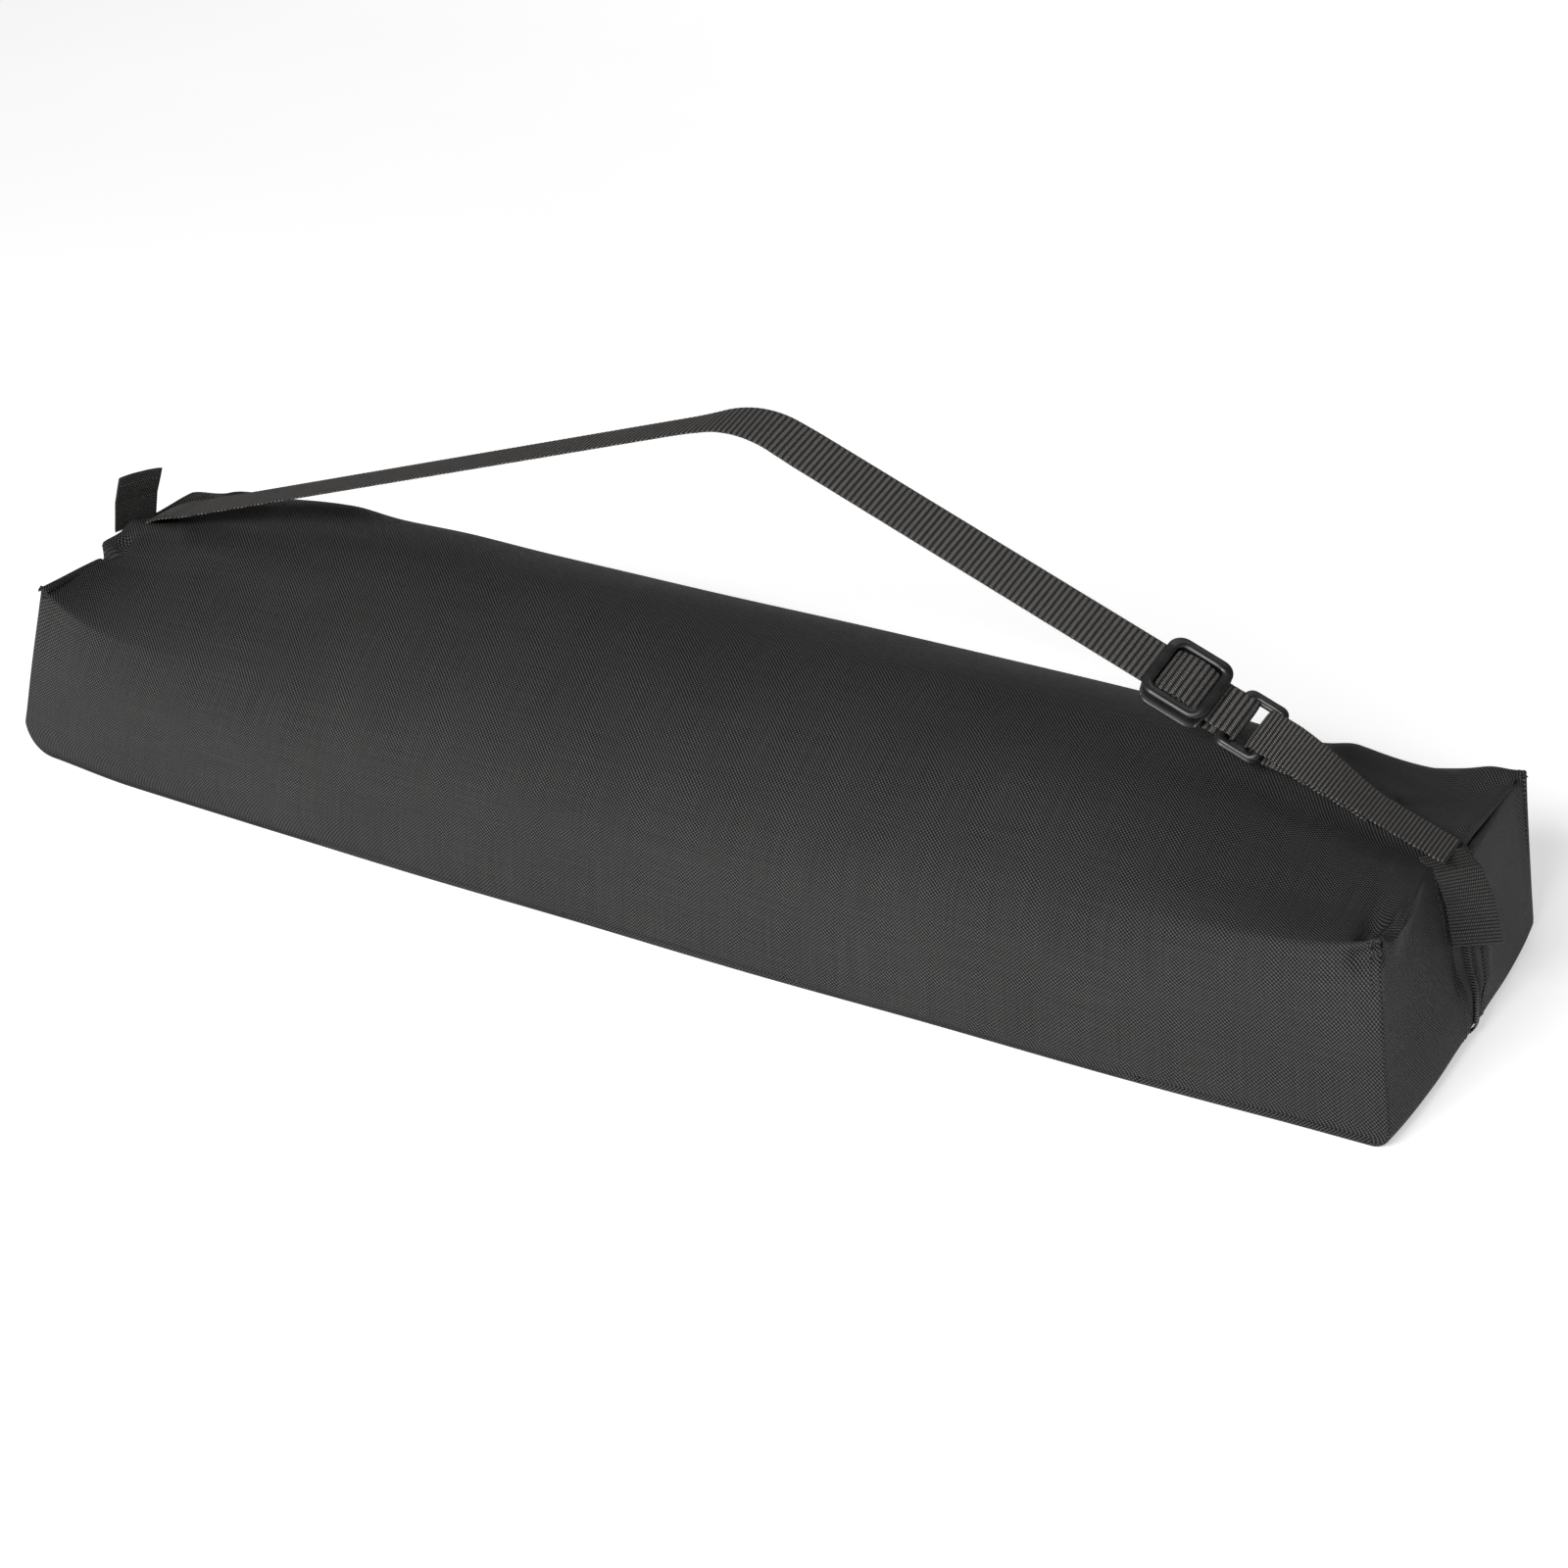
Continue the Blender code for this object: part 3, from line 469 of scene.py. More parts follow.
def gusset_ends(look):
    for side, half, side_name, half_name in each_end():
        columns = half * np.linspace(FABRIC_EDGE_Y, HALF_WIDTH - SEAM_RADIUS, GUSSET_GRID[0])
        grid = end_surface(columns, side, 0.0, SEAM_RADIUS)
        flip = side * half > 0
        grid = turn_in(grid, 1, False, flip)
        grid = turn_in(grid, 0, True, flip)
        grid = turn_in(grid, 0, False, flip, *HEM)
        name = "gusset_" + side_name + "_" + half_name
        piece = cloth_piece(name, grid, look, flip)
        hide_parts("gusset_end_" + side_name + "_" + half_name)
        blend_with_flap(piece)


def flap_surface(columns, inset):
    """Grid of points on the underside between the ends, one line of the grid for each y."""
    x = np.linspace(-FLAP_HALF_LENGTH, FLAP_HALF_LENGTH, FLAP_POINTS)
    flat = np.ones(FLAP_POINTS)
    grid = [np.stack([x, y * flat, (bottom_z(y) + inset) * flat], -1) for y in columns]
    return settle(np.array(grid))


def bottom_flaps(look):
    for half, name in ((-1, "front"), (1, "back")):
        columns = half * np.linspace(FABRIC_EDGE_Y, HALF_WIDTH - SEAM_RADIUS, GUSSET_GRID[0])
        flip = half < 0
        grid = flap_surface(columns, 0.0)
        grid = turn_in(grid, 0, True, flip)
        grid = turn_in(grid, 0, False, flip, *HEM)
        piece = cloth_piece("flap_" + name, grid, look, flip)
        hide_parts("bottom_flap_" + name)
        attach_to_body(piece, name + "_flap")


# ------------------------------------------------------------------ small round things: coil, stitches


CAPSULE_SIDES = 6
CAPSULE_PROFILE = ((-1.0, 0.35), (-0.7, 0.85), *((t, 1.0) for t in np.linspace(-0.4, 0.4, 4)),
                   (0.7, 0.85), (1.0, 0.35))       # place along it and share of its radius


def capsules(starts, ends, normals, radius):
    """Points and faces of many small rounded bars, one from each start to each end."""
    ahead = unit(ends - starts)
    up = unit(normals - (normals * ahead).sum(1, keepdims=True) * ahead)
    sideways = np.cross(ahead, up)
    angles = np.linspace(0, 2 * math.pi, CAPSULE_SIDES, endpoint=False)[:, None]
    round_it = up[:, None] * np.cos(angles) + sideways[:, None] * np.sin(angles)
    layers = []
    for along, width in CAPSULE_PROFILE:
        middle = 0.5 * (starts + ends) + 0.5 * along * (ends - starts)
        layers.append(middle[:, None] + radius * width * round_it)
    points = np.stack(layers, 1)
    index, faces = ring_faces(len(CAPSULE_PROFILE), CAPSULE_SIDES)
    faces = [*faces.tolist(), index[0][::-1].tolist(), index[-1].tolist()]
    every = [[item * index.size + corner for corner in face] for item in range(len(starts)) for face in faces]
    return points.reshape(-1, 3), every


def walk(line, pitch, start):
    """Points and directions every pitch along a line of points."""
    run = running_length(line)
    points = points_at(np.arange(start, run[-1] - pitch, pitch), run, line)
    return points, unit(np.gradient(points, axis=0))


TOOTH_PITCH = 1.5 * MM
TOOTH_SHIFT = 0.5 * TOOTH_PITCH
TOOTH_RADIUS = 0.58 * MM
TOOTH_OUTER = 3.2 * MM
TOOTH_INNER = -0.7 * MM         # the tip passes the middle of the zip
TOOTH_SLANT = 0.55 * TOOTH_PITCH
TOOTH_TIP_LIFT = 0.25 * MM
FIRST_TOOTH = 0.4 * MM
STITCH_PITCH = 3.2 * MM
STITCH_LENGTH = 2.3 * MM
STITCH_RADIUS = 0.24 * MM
STITCH_LIFT = 0.1 * MM


def coil_teeth(name, line, out, outward, shift, look):
    """One side of the zip's coil: slanted teeth that reach past the middle between their neighbours."""
    points, ahead = walk(line, TOOTH_PITCH, FIRST_TOOTH + shift)
    normals = unit(nearest_rows(points, line, out))
    across = unit(nearest_rows(points, line, outward))
    slant = ahead * TOOTH_SLANT
    outer = points + across * TOOTH_OUTER - slant
    inner = points + across * TOOTH_INNER + slant + normals * TOOTH_TIP_LIFT
    rows, faces = capsules(outer, inner, normals, TOOTH_RADIUS)
    return build_mesh(name, rows, faces, None, look)


def nearest_rows(points, line, values):
    gaps = ((points[:, None] - line[None]) ** 2).sum(-1)
    return values[gaps.argmin(1)]


def stitches(name, line, out, look):
    """A row of lockstitches along a line on the cloth."""
    points, ahead = walk(line, STITCH_PITCH, 0.5 * STITCH_PITCH)
    normals = unit(nearest_rows(points, line, out))
    middle = points + normals * STITCH_LIFT
    half = ahead * 0.5 * STITCH_LENGTH
    rows, faces = capsules(middle - half, middle + half, normals, STITCH_RADIUS)
    return build_mesh(name, rows, faces, None, look)


def first_line(grid, flip):
    """The first line of a grid and the outward directions along it."""
    return grid[0], normals_of(grid, flip)[0]


TAPE = 0.6 * MM
TAPE_INNER_Y = 0.6 * MM
TAPE_DEPTH = 0.9 * MM           # the tape lies this far in from the cloth's surface
COIL_DEPTH = -0.3 * MM          # and the coil stands out from it
COIL_ROWS_Y = np.array((0.05, 2.0)) * MM
STITCH_ROWS_Y = FABRIC_EDGE_Y + np.array((5.0, 6.0)) * MM
TAPE_TOP_DROP = 2.5 * MM        # how far below the end seam each of them starts
COIL_TOP_DROP = 6.0 * MM
STITCH_TOP_DROP = 4.0 * MM


def zip_side(where, half, flip, surface, attach, looks):
    """Tape, coil and topstitching of one half of the zip, along an end or along the underside."""
    tape = surface(half * np.linspace(TAPE_INNER_Y, TAPE_OUTER_Y, 8), TAPE_DEPTH, TAPE_TOP_DROP)
    piece = cloth_piece("tape" + where, tape, looks["tape"], flip, TAPE)
    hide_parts("zip_tape" + where)
    attach(piece)
    middle = surface(half * COIL_ROWS_Y, COIL_DEPTH, COIL_TOP_DROP)
    line, out = first_line(middle, flip)
    shift = max(half, 0) * TOOTH_SHIFT
    piece = coil_teeth("coil" + where, line, out, middle[1] - middle[0], shift, looks["coil"])
    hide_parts("zip_coil" + where)
    attach(piece)
    line, out = first_line(surface(half * STITCH_ROWS_Y, 0.0, STITCH_TOP_DROP), flip)
    piece = stitches("topstitch" + where, line, out, looks["thread"])
    attach(piece)


def zip_pieces(looks):
    """Both halves of the zip, up the ends and along the underside."""
    for side, half, side_name, half_name in each_end():
        zip_side("_" + side_name + "_" + half_name, half, side * half > 0,
                 lambda columns, depth, drop: end_surface(columns, side, depth, drop),
                 lambda piece: blend_with_flap(piece), looks)
    for half, name in ((-1, "front"), (1, "back")):
        zip_side("_bottom_" + name, half, half < 0,
                 lambda columns, depth, drop: flap_surface(columns, depth),
                 lambda piece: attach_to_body(piece, name + "_flap"), looks)


# ------------------------------------------------------------------ webbing

WEBBING_HALF = 12.5 * MM
WEBBING = 1.5 * MM
RIB_LONG = 3.1 * MM            # rib pitch of the long strap
RIB_FINE = 2.05 * MM           # and of the anchor webbing and the tabs
SECTION_POINTS = 28
RIB_DEPTH = 0.34               # share of the thickness lost between two ribs
EDGE_SERRATION = 0.018


def squared(values, power):
    """Sines or cosines pushed outwards, which turns a round section into a flat one."""
    return np.sign(values) * np.abs(values) ** power


def webbing_strip(name, line, look, rib, thickness=WEBBING, depth=RIB_DEPTH):
    """Ribbed webbing along a line given as middle points, width directions and normals."""
    middle, across, normal = line
    run = running_length(middle)
    ribs = 1 - depth + depth * np.abs(np.sin(math.pi * run / rib)) ** 0.6
    angles = np.linspace(0, 2 * math.pi, SECTION_POINTS, endpoint=False) + math.pi / SECTION_POINTS
    flat_y = squared(np.cos(angles), 0.55)
    flat_n = squared(np.sin(angles), 0.45)
    serrated = WEBBING_HALF * (1 - EDGE_SERRATION + EDGE_SERRATION * ribs)
    points = (middle[:, None] + across[:, None] * (serrated[:, None] * flat_y)[..., None]
              + normal[:, None] * (0.5 * thickness * ribs[:, None] * flat_n)[..., None])
    index, faces = ring_faces(len(middle), SECTION_POINTS)
    handed = np.einsum("ij,ij->i", np.cross(across, normal), np.gradient(middle, axis=0)).mean()
    faces = faces[:, ::-1] if handed < 0 else faces
    ends = [index[0][::-1], index[-1]] if handed > 0 else [index[0], index[-1][::-1]]
    along, sideways = np.broadcast_arrays(run[:, None], WEBBING_HALF * flat_y)
    faces = [*faces.tolist(), *[end.tolist() for end in ends]]
    piece = build_mesh(name, points, faces, np.stack([along, sideways], -1), look)
    return piece


# The sling in its own plane: s is the distance past the tri-glide's middle, towards the right end,
# and n the distance off the strap's middle line
LEFT_SLOPE = math.radians(18.5)
RIGHT_SLOPE = math.radians(21.0)
ANCHOR_SLOPE = math.radians(25.6)
APEX_RADIUS = 0.060
LEFT_ROLL = math.radians(4.0)
RIGHT_ROLL = math.radians(26.0)
ROLL_EASE = 0.08                # the strap rolls over this length, from a little before the arch
SLING_LEFT = np.array((-0.3550, 0.1193))        # x and z
SLIDE_CENTRE = np.array((0.2469, 0.1507))
RING_LEFT_BAR = 27.1 * MM
RING_RIGHT_BAR = 47.1 * MM
LOOP_SLACK = 3.7 * MM
LOOP_RADIUS = 3.25 * MM
LOW_LAYER = -2 * LOOP_RADIUS    # n of the layers that come back under the bars
ANCHOR_BEND = 56.0 * MM
ANCHOR_END = 106.5 * MM
LOOP_MEET = 9.0 * MM
RING_TAIL = 4.0 * MM
LAYER_GAP = 0.2 * MM


def apex_distance():
    """Where the strap's two straight runs would meet, measured from the tri-glide."""
    dx, dz = SLIDE_CENTRE - SLING_LEFT
    return -(dx * math.sin(LEFT_SLOPE) - dz * math.cos(LEFT_SLOPE)) / math.sin(LEFT_SLOPE + RIGHT_SLOPE)


ARCH_TURN = LEFT_SLOPE + RIGHT_SLOPE
ARCH_END = apex_distance() + APEX_RADIUS * math.tan(0.5 * ARCH_TURN)
ARCH_START = ARCH_END - APEX_RADIUS * ARCH_TURN


def sling_frames(s):
    """Middle points, normals and width directions of the sling at distances s past the tri-glide."""
    s = np.asarray(s, float)
    right = np.array((math.cos(RIGHT_SLOPE), -math.sin(RIGHT_SLOPE)))
    left = np.array((math.cos(LEFT_SLOPE), math.sin(LEFT_SLOPE)))
    anchor = np.array((math.cos(ANCHOR_SLOPE), -math.sin(ANCHOR_SLOPE)))
    straight = SLIDE_CENTRE + np.minimum(s, ANCHOR_BEND)[:, None] * right
    straight = straight + np.maximum(s - ANCHOR_BEND, 0)[:, None] * anchor
    centre = SLIDE_CENTRE + ARCH_END * right + APEX_RADIUS * np.array((right[1], -right[0]))
    slope = np.minimum((ARCH_END - s) / APEX_RADIUS - RIGHT_SLOPE, LEFT_SLOPE)
    arch = centre + APEX_RADIUS * np.stack([-np.sin(slope), np.cos(slope)], -1)
    arch = arch - np.maximum(ARCH_START - s, 0)[:, None] * left
    on_right = s >= ARCH_END
    place = np.where(on_right[:, None], straight, arch)
    slope = np.where(on_right, np.where(s > ANCHOR_BEND, -ANCHOR_SLOPE, -RIGHT_SLOPE), slope)
    roll = mix(LEFT_ROLL, RIGHT_ROLL, smooth((s - ARCH_START + 0.25 * ROLL_EASE) / ROLL_EASE))
    roll = roll * (1 - smooth((s - ANCHOR_BEND) / (ANCHOR_END - ANCHOR_BEND)))
    zero = np.zeros_like(s)
    up = np.stack([-np.sin(slope), zero, np.cos(slope)], -1)
    cross = np.tile(np.array((0.0, 1.0, 0.0)), (len(s), 1))
    cosine, sine = np.cos(roll)[:, None], np.sin(roll)[:, None]
    return (np.stack([place[:, 0], zero, place[:, 1]], -1), up * cosine - cross * sine,
            cross * cosine + up * sine)


def sling_path(path, spacing):
    """Middle line, width directions and normals of webbing that follows (s, n) points of the sling."""
    path = np.array(path, float)
    run = running_length(path)
    s, n = points_at(np.linspace(0, run[-1], max(int(run[-1] / spacing), 8)), run, path).T
    middle, up, across = sling_frames(s)
    middle = middle + up * n[:, None]
    ahead = unit(np.gradient(middle, axis=0))
    return middle, across, unit(np.cross(ahead, across))


def half_loop(s, n, radius, first, last):
    """Points of a half circle round (s, n), between two angles."""
    return [(s + radius * math.cos(a), n + radius * math.sin(a)) for a in np.linspace(first, last, 24)]


def sewn_run(start, end, first_across, last_across, shares, sag):
    """A short free run of webbing between its seam and the strap, with its width direction turning."""
    t = shares[:, None]
    middle = mix(start, end, t) + np.array((0.0, 0.0, sag)) * np.sin(math.pi * t)
    across = unit(mix(first_across, last_across, t))
    return middle, across, unit(np.cross(unit(np.gradient(middle, axis=0)), across))


def in_a_row(*lines):
    """One line of webbing out of several."""
    return [np.concatenate(parts) for parts in zip(*lines)]


LEFT_ROOT_INSET = 4.0 * MM
LEFT_ROOT_RISE = 1.5 * MM


def long_strap(look):
    """From the left end seam over the arch to the ring, round its bar and back a little."""
    start = ARCH_START - MM
    while sling_frames([start])[0][0, 0] > SLING_LEFT[0]:
        start -= 0.5 * MM
    path = [(s, 0.0) for s in np.linspace(start, RING_LEFT_BAR, 900)]
    path += half_loop(RING_LEFT_BAR + LOOP_SLACK, -LOOP_RADIUS, LOOP_RADIUS, 0.5 * math.pi, -0.5 * math.pi)
    path.append((RING_LEFT_BAR - RING_TAIL, LOW_LAYER))
    free = sling_path(path, RIB_LONG / 8)
    first = free[0][0]
    root = sewn_run(LEFT_SEAM + np.array((LEFT_ROOT_INSET, 0.0, 0.0)), first, np.array((0.0, 1.0, 0.0)),
                    free[1][0], np.linspace(0, 1, 90, endpoint=False), LEFT_ROOT_RISE)
    piece = webbing_strip("strap_long", in_a_row(root, free), look, RIB_LONG)
    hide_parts("sling_strap", "strap_root_left")
    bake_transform(piece)


ANCHOR_UNDER = -(WEBBING + LAYER_GAP)
ANCHOR_TAIL = ((ANCHOR_END, ANCHOR_UNDER), (66 * MM, ANCHOR_UNDER), (56 * MM, LOW_LAYER + MM),
               (50 * MM, LOW_LAYER))
ANCHOR_SEAM_OFFSET = np.array((1.0, 0.0, 1.4)) * MM     # from the end seam to the webbing's sewn end


def anchor_webbing(look):
    """Two layers of finer webbing from the right end seam round the ring's right bar."""
    path = [*ANCHOR_TAIL]
    path += half_loop(RING_RIGHT_BAR - LOOP_SLACK, -LOOP_RADIUS, LOOP_RADIUS, 1.5 * math.pi, 0.5 * math.pi)
    path += [(s, 0.0) for s in np.linspace(RING_RIGHT_BAR, ANCHOR_END, 60)]
    free = sling_path(path, RIB_FINE / 8)
    end = free[0][-1]
    seam = np.array((seam_value(True, 0.0, 2), 0.0, seam_height(True, 0.0))) + ANCHOR_SEAM_OFFSET
    root = sewn_run(end, seam, free[1][-1], free[1][-1], np.linspace(0, 1, 131)[1:], 0.0)
    piece = webbing_strip("strap_anchor", in_a_row(free, root), look, RIB_FINE)
    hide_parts("anchor_strap", "strap_root_right")
    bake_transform(piece)


def return_layer(look):
    """The strap's layer between the sewn end and the tail that comes back from the ring."""
    path = [(LOOP_MEET - MM, LOW_LAYER), (RING_LEFT_BAR - RING_TAIL + MM, LOW_LAYER)]
    line = sling_path(path, RIB_LONG / 8)
    piece = webbing_strip("strap_return_layer", line, look, RIB_LONG, thickness=0.92 * WEBBING)
    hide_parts("strap_return")
    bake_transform(piece)


GLIDE_BAR_N = -0.5 * (WEBBING + 0.3 * MM - LOW_LAYER)
SEWN_TAIL_N = LOW_LAYER + 1.8 * MM
SEWN_TAIL_S = (14 * MM, 5 * MM)
BAR_LOOP_S = (2.8 * MM, -1.2 * MM)      # where the loop round the centre bar starts, and its middle
BUMP_HALF_LENGTH = 12.0 * MM
BUMP_LOW = 0.9 * MM
BUMP_HEIGHT = 3.6 * MM


def end_loop(look):
    """The sewn end looped round the centre bar, and the bump of webbing that shows in the window."""
    radius = GLIDE_BAR_N - LOW_LAYER
    path = [(s, SEWN_TAIL_N) for s in SEWN_TAIL_S] + [(BAR_LOOP_S[0], GLIDE_BAR_N + radius)]
    path += half_loop(BAR_LOOP_S[1], GLIDE_BAR_N, radius, 0.5 * math.pi, 1.5 * math.pi)
    path.append((LOOP_MEET, LOW_LAYER))
    piece = webbing_strip("strap_sewn_end", sling_path(path, RIB_LONG / 10), look, RIB_LONG)
    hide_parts("strap_end_loop")
    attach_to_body(piece, "adjuster")
    path = [(BUMP_HALF_LENGTH * t, BUMP_LOW + BUMP_HEIGHT * math.cos(0.5 * math.pi * t) ** 0.8)
            for t in np.linspace(-0.995, 0.995, 40)]
    piece = webbing_strip("strap_over_bar", sling_path(path, RIB_LONG / 10), look, RIB_LONG)
    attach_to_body(piece, "adjuster")


# ------------------------------------------------------------------ moulded frames


OUTLINE_STEP = 2 * MM
CORNER_POINTS = 10
# The side of a frame's face: shares of the edge's depth upwards and inwards; the faces stand out as
# lips over a waist
LIP = ((0.0, 1.0), (0.08, 0.62), (0.30, 0.22), (0.62, 0.04), (1.0, 0.0))
RAIL_SHARE = 0.45               # the side rails start this far across the frame's side


def rounded_outline(half_s, half_y, radius):
    """Points round a rectangle with round corners, starting at its +s side, counter-clockwise."""
    points = []
    for corner, signs in enumerate(((1, 1), (-1, 1), (-1, -1), (1, -1))):
        centre = np.array(signs) * (half_s - radius, half_y - radius)
        for angle in np.linspace(0, math.pi / 2, CORNER_POINTS) + corner * math.pi / 2:
            points.append(centre + radius * np.array((math.cos(angle), math.sin(angle))))
    dense = []
    for a, b in zip(points, points[1:] + points[:1]):
        pieces = max(int(np.linalg.norm(b - a) / OUTLINE_STEP), 1)
        dense += [mix(a, b, i / pieces) for i in range(pieces)]
    return np.array(dense)


def matched(outside, inside):
    """For each outer point the inner point at the same share of the way round."""
    closed = np.vstack([inside, inside[:1]])
    run = running_length(closed)
    outer_run = running_length(np.vstack([outside, outside[:1]]))
    return points_at(outer_run[:-1] / outer_run[-1] * run[-1], run, closed)


def sling_solid(points):
    """Turns (s, y, n) points into places on the sling near the hardware."""
    middle, up, across = sling_frames(points[:, 0])
    return middle + up * points[:, 2:] + across * points[:, 1:2]


def frame_solid(centre_s, outer, inner, level, sides_drop, edge):
    """Points and faces of a moulded frame: a rounded section swept round a rounded rectangle.
    level is its lowest and highest n, and the two side rails reach sides_drop lower."""
    outside = rounded_outline(*outer)
    inside = matched(outside, rounded_outline(*inner))
    low, high = level
    rows = []
    for a, b in zip(outside, inside):
        towards = (b - a) / np.linalg.norm(a - b)
        rail = smooth((abs(a[1]) - inner[1]) / (RAIL_SHARE * (outer[1] - inner[1])))
        base = low - sides_drop * float(rail)
        ring = [(a + towards * edge * d, high - edge + edge * r) for r, d in LIP]
        ring += [(b - towards * edge * d, high - edge + edge * r) for r, d in LIP[::-1]]
        ring += [(b - towards * edge * d, base + edge - edge * r) for r, d in LIP]
        ring += [(a + towards * edge * d, base + edge - edge * r) for r, d in LIP[::-1]]
        rows.append([(centre_s + place[0], place[1], n) for place, n in ring])
    faces = ring_faces(len(rows), 4 * len(LIP), closed=True)[1]
    return np.array(rows).reshape(-1, 3), faces


def bar_solid(half_s, half_y, middle_n, half_n):
    """Points and faces of a round-edged bar across the sling."""
    angles = np.linspace(0, 2 * math.pi, 18, endpoint=False)
    s = half_s * squared(np.cos(angles), 0.6)
    n = middle_n + half_n * squared(np.sin(angles), 0.6)
    ys = np.linspace(-half_y, half_y, 12)
    points = np.array([(a, y, b) for y in ys for a, b in zip(s, n)])
    index, faces = ring_faces(len(ys), len(angles))
    return points, [*faces.tolist(), index[0][::-1].tolist(), index[-1].tolist()]


def joined(parts):
    points, faces, base = [], [], 0
    for more, more_faces in parts:
        points.append(more)
        faces += [[base + int(i) for i in face] for face in more_faces]
        base += len(more)
    return np.concatenate(points), faces


# Half length along the strap, half width and corner radius of each frame, outside and inside
GLIDE_OUTER = np.array((17.4, 18.6, 7.6)) * MM
GLIDE_WINDOW = np.array((12.4, 13.6, 3.2)) * MM
GLIDE_LOW = 0.5 * WEBBING + 0.3 * MM
GLIDE_THICKNESS = 3.4 * MM
GLIDE_EDGE = 1.1 * MM
GLIDE_BAR = np.array((2.0, 14.5, 1.1)) * MM     # half length, half width and half height of the centre bar
RING_HALF = 0.5 * (RING_RIGHT_BAR - RING_LEFT_BAR)
RING_BAR_HALF = 1.9 * MM
RING_OUTER = (RING_HALF + RING_BAR_HALF, 17.5 * MM, 5.0 * MM)
RING_WINDOW = (RING_HALF - RING_BAR_HALF, 13.5 * MM, 2.2 * MM)
RING_EDGE = 1.5 * MM


def hardware(look):
    rail_drop = GLIDE_LOW - (GLIDE_BAR_N - GLIDE_BAR[2])
    glide = joined([
        frame_solid(0.0, GLIDE_OUTER, GLIDE_WINDOW, (GLIDE_LOW, GLIDE_LOW + GLIDE_THICKNESS), rail_drop,
                    GLIDE_EDGE),
        bar_solid(GLIDE_BAR[0], GLIDE_BAR[1], GLIDE_BAR_N, GLIDE_BAR[2])])
    moulded("tri_glide", glide, look, "triglide", "adjuster")
    ring = frame_solid(RING_LEFT_BAR + RING_HALF, RING_OUTER, RING_WINDOW,
                       (-LOOP_RADIUS - RING_BAR_HALF, -LOOP_RADIUS + RING_BAR_HALF), 0.0, RING_EDGE)
    moulded("square_ring", ring, look, "ring", "sling")


def moulded(name, solid, look, cad, body):
    piece = build_mesh(name, sling_solid(solid[0]), solid[1], None, look)
    shape = bmesh.new()
    shape.from_mesh(piece.data)
    bmesh.ops.recalc_face_normals(shape, faces=shape.faces)
    shape.to_mesh(piece.data)
    shape.free()
    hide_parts(cad)
    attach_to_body(piece, body)


# ------------------------------------------------------------------ tabs

RIB_TAB = 1.76 * MM
TAB_THICKNESS = 1.7 * MM
TAB_RIB_DEPTH = 0.22
HEM_SHARE = 0.84                # share of a tab's length where its hem is sewn
HEM_STITCHES = 10
HEM_HALF_WIDTH = 0.9            # in half widths of the webbing
HEM_LIFT = 0.85 * MM

# Name, CAD node and body of each tab, then the line it follows from its seam, its width direction at
# the seam and at its end, and how much it cups
TABS = (
    ("tab_hanging", "tab_right", "right_tab",
     ((0.3770, -0.003, 0.0955), (0.3865, -0.003, 0.0885), (0.3935, -0.002, 0.0730), (0.3995, -0.002, 0.0520)),
     ((0.62, 0.78, 0.0), (0.79, 0.61, 0.0)), 0.2 * MM),
    ("tab_standing", "tab_left", "left_tab",
     ((-0.3918, -0.0068, 0.1048), (-0.3915, -0.007, 0.1070), (-0.3870, -0.009, 0.1240),
      (-0.3790, -0.012, 0.1410)),
     ((0.51, 0.82, 0.14), (0.62, 0.76, 0.12)), -1.0 * MM),
)


def tab_line(path, widths):
    """Middle points, width directions and normals of a tab."""
    path = np.array(path)
    run = running_length(path)
    at = np.linspace(0, run[-1], int(run[-1] / (RIB_TAB / 8)))
    middle = points_at(at, run, path)
    across = unit(mix(*np.array(widths), smooth(at / run[-1])[:, None]))
    return middle, across, unit(np.cross(unit(np.gradient(middle, axis=0)), across))


def cup(out, amount):
    """How far a tab's cloth stands off its middle line, out half widths from it."""
    return amount * (out ** 2 - 0.4)


def cup_tab(piece, line, amount):
    middle, across, normal = line
    mesh = piece.data
    points = np.zeros(len(mesh.vertices) * 3, np.float32)
    mesh.vertices.foreach_get("co", points)
    points = points.reshape(len(middle), SECTION_POINTS, 3)
    out = ((points - middle[:, None]) * across[:, None]).sum(-1) / WEBBING_HALF
    points += normal[:, None] * cup(out, amount)[..., None]
    mesh.vertices.foreach_set("co", points.ravel().astype(np.float32))
    mesh.update()


def hem(name, line, look, amount):
    """Stitching across a tab, on both faces."""
    middle, across, normal = (part[int(HEM_SHARE * len(part))] for part in line)
    out = np.linspace(-HEM_HALF_WIDTH, HEM_HALF_WIDTH, HEM_STITCHES + 1)
    parts = []
    for face in (-1, 1):
        row = (middle + across * (out * WEBBING_HALF)[:, None]
               + normal * (cup(out, amount) + face * HEM_LIFT)[:, None])
        parts.append(capsules(mix(row[:-1], row[1:], 0.15), mix(row[:-1], row[1:], 0.85),
                              np.tile(normal * face, (HEM_STITCHES, 1)), STITCH_RADIUS))
    points, faces = joined(parts)
    piece = build_mesh(name, points, faces, None, look)
    return piece


def tabs(looks):
    for name, cad, body, path, widths, amount in TABS:
        line = tab_line(path, widths)
        piece = webbing_strip(name, line, looks["tab"], RIB_TAB, TAB_THICKNESS, TAB_RIB_DEPTH)
        cup_tab(piece, line, amount)
        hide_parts(cad)
        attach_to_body(piece, body)
        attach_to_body(hem(name + "_hem", line, looks["thread"], amount), body)


def carried_over(look):
    """CAD nodes that keep their own shape get a finished material and softer edges."""
    for name in ("zip_slider", "zip_pull", "zip_stop_left", "zip_stop_right"):
        node = frame["nodes"][name]
        node.data.materials.clear()
        node.data.materials.append(look)
        edge = node.modifiers.new("Edge", "BEVEL")
        edge.width = 0.35 * MM
        edge.segments = 3
        edge.limit_method = "ANGLE"


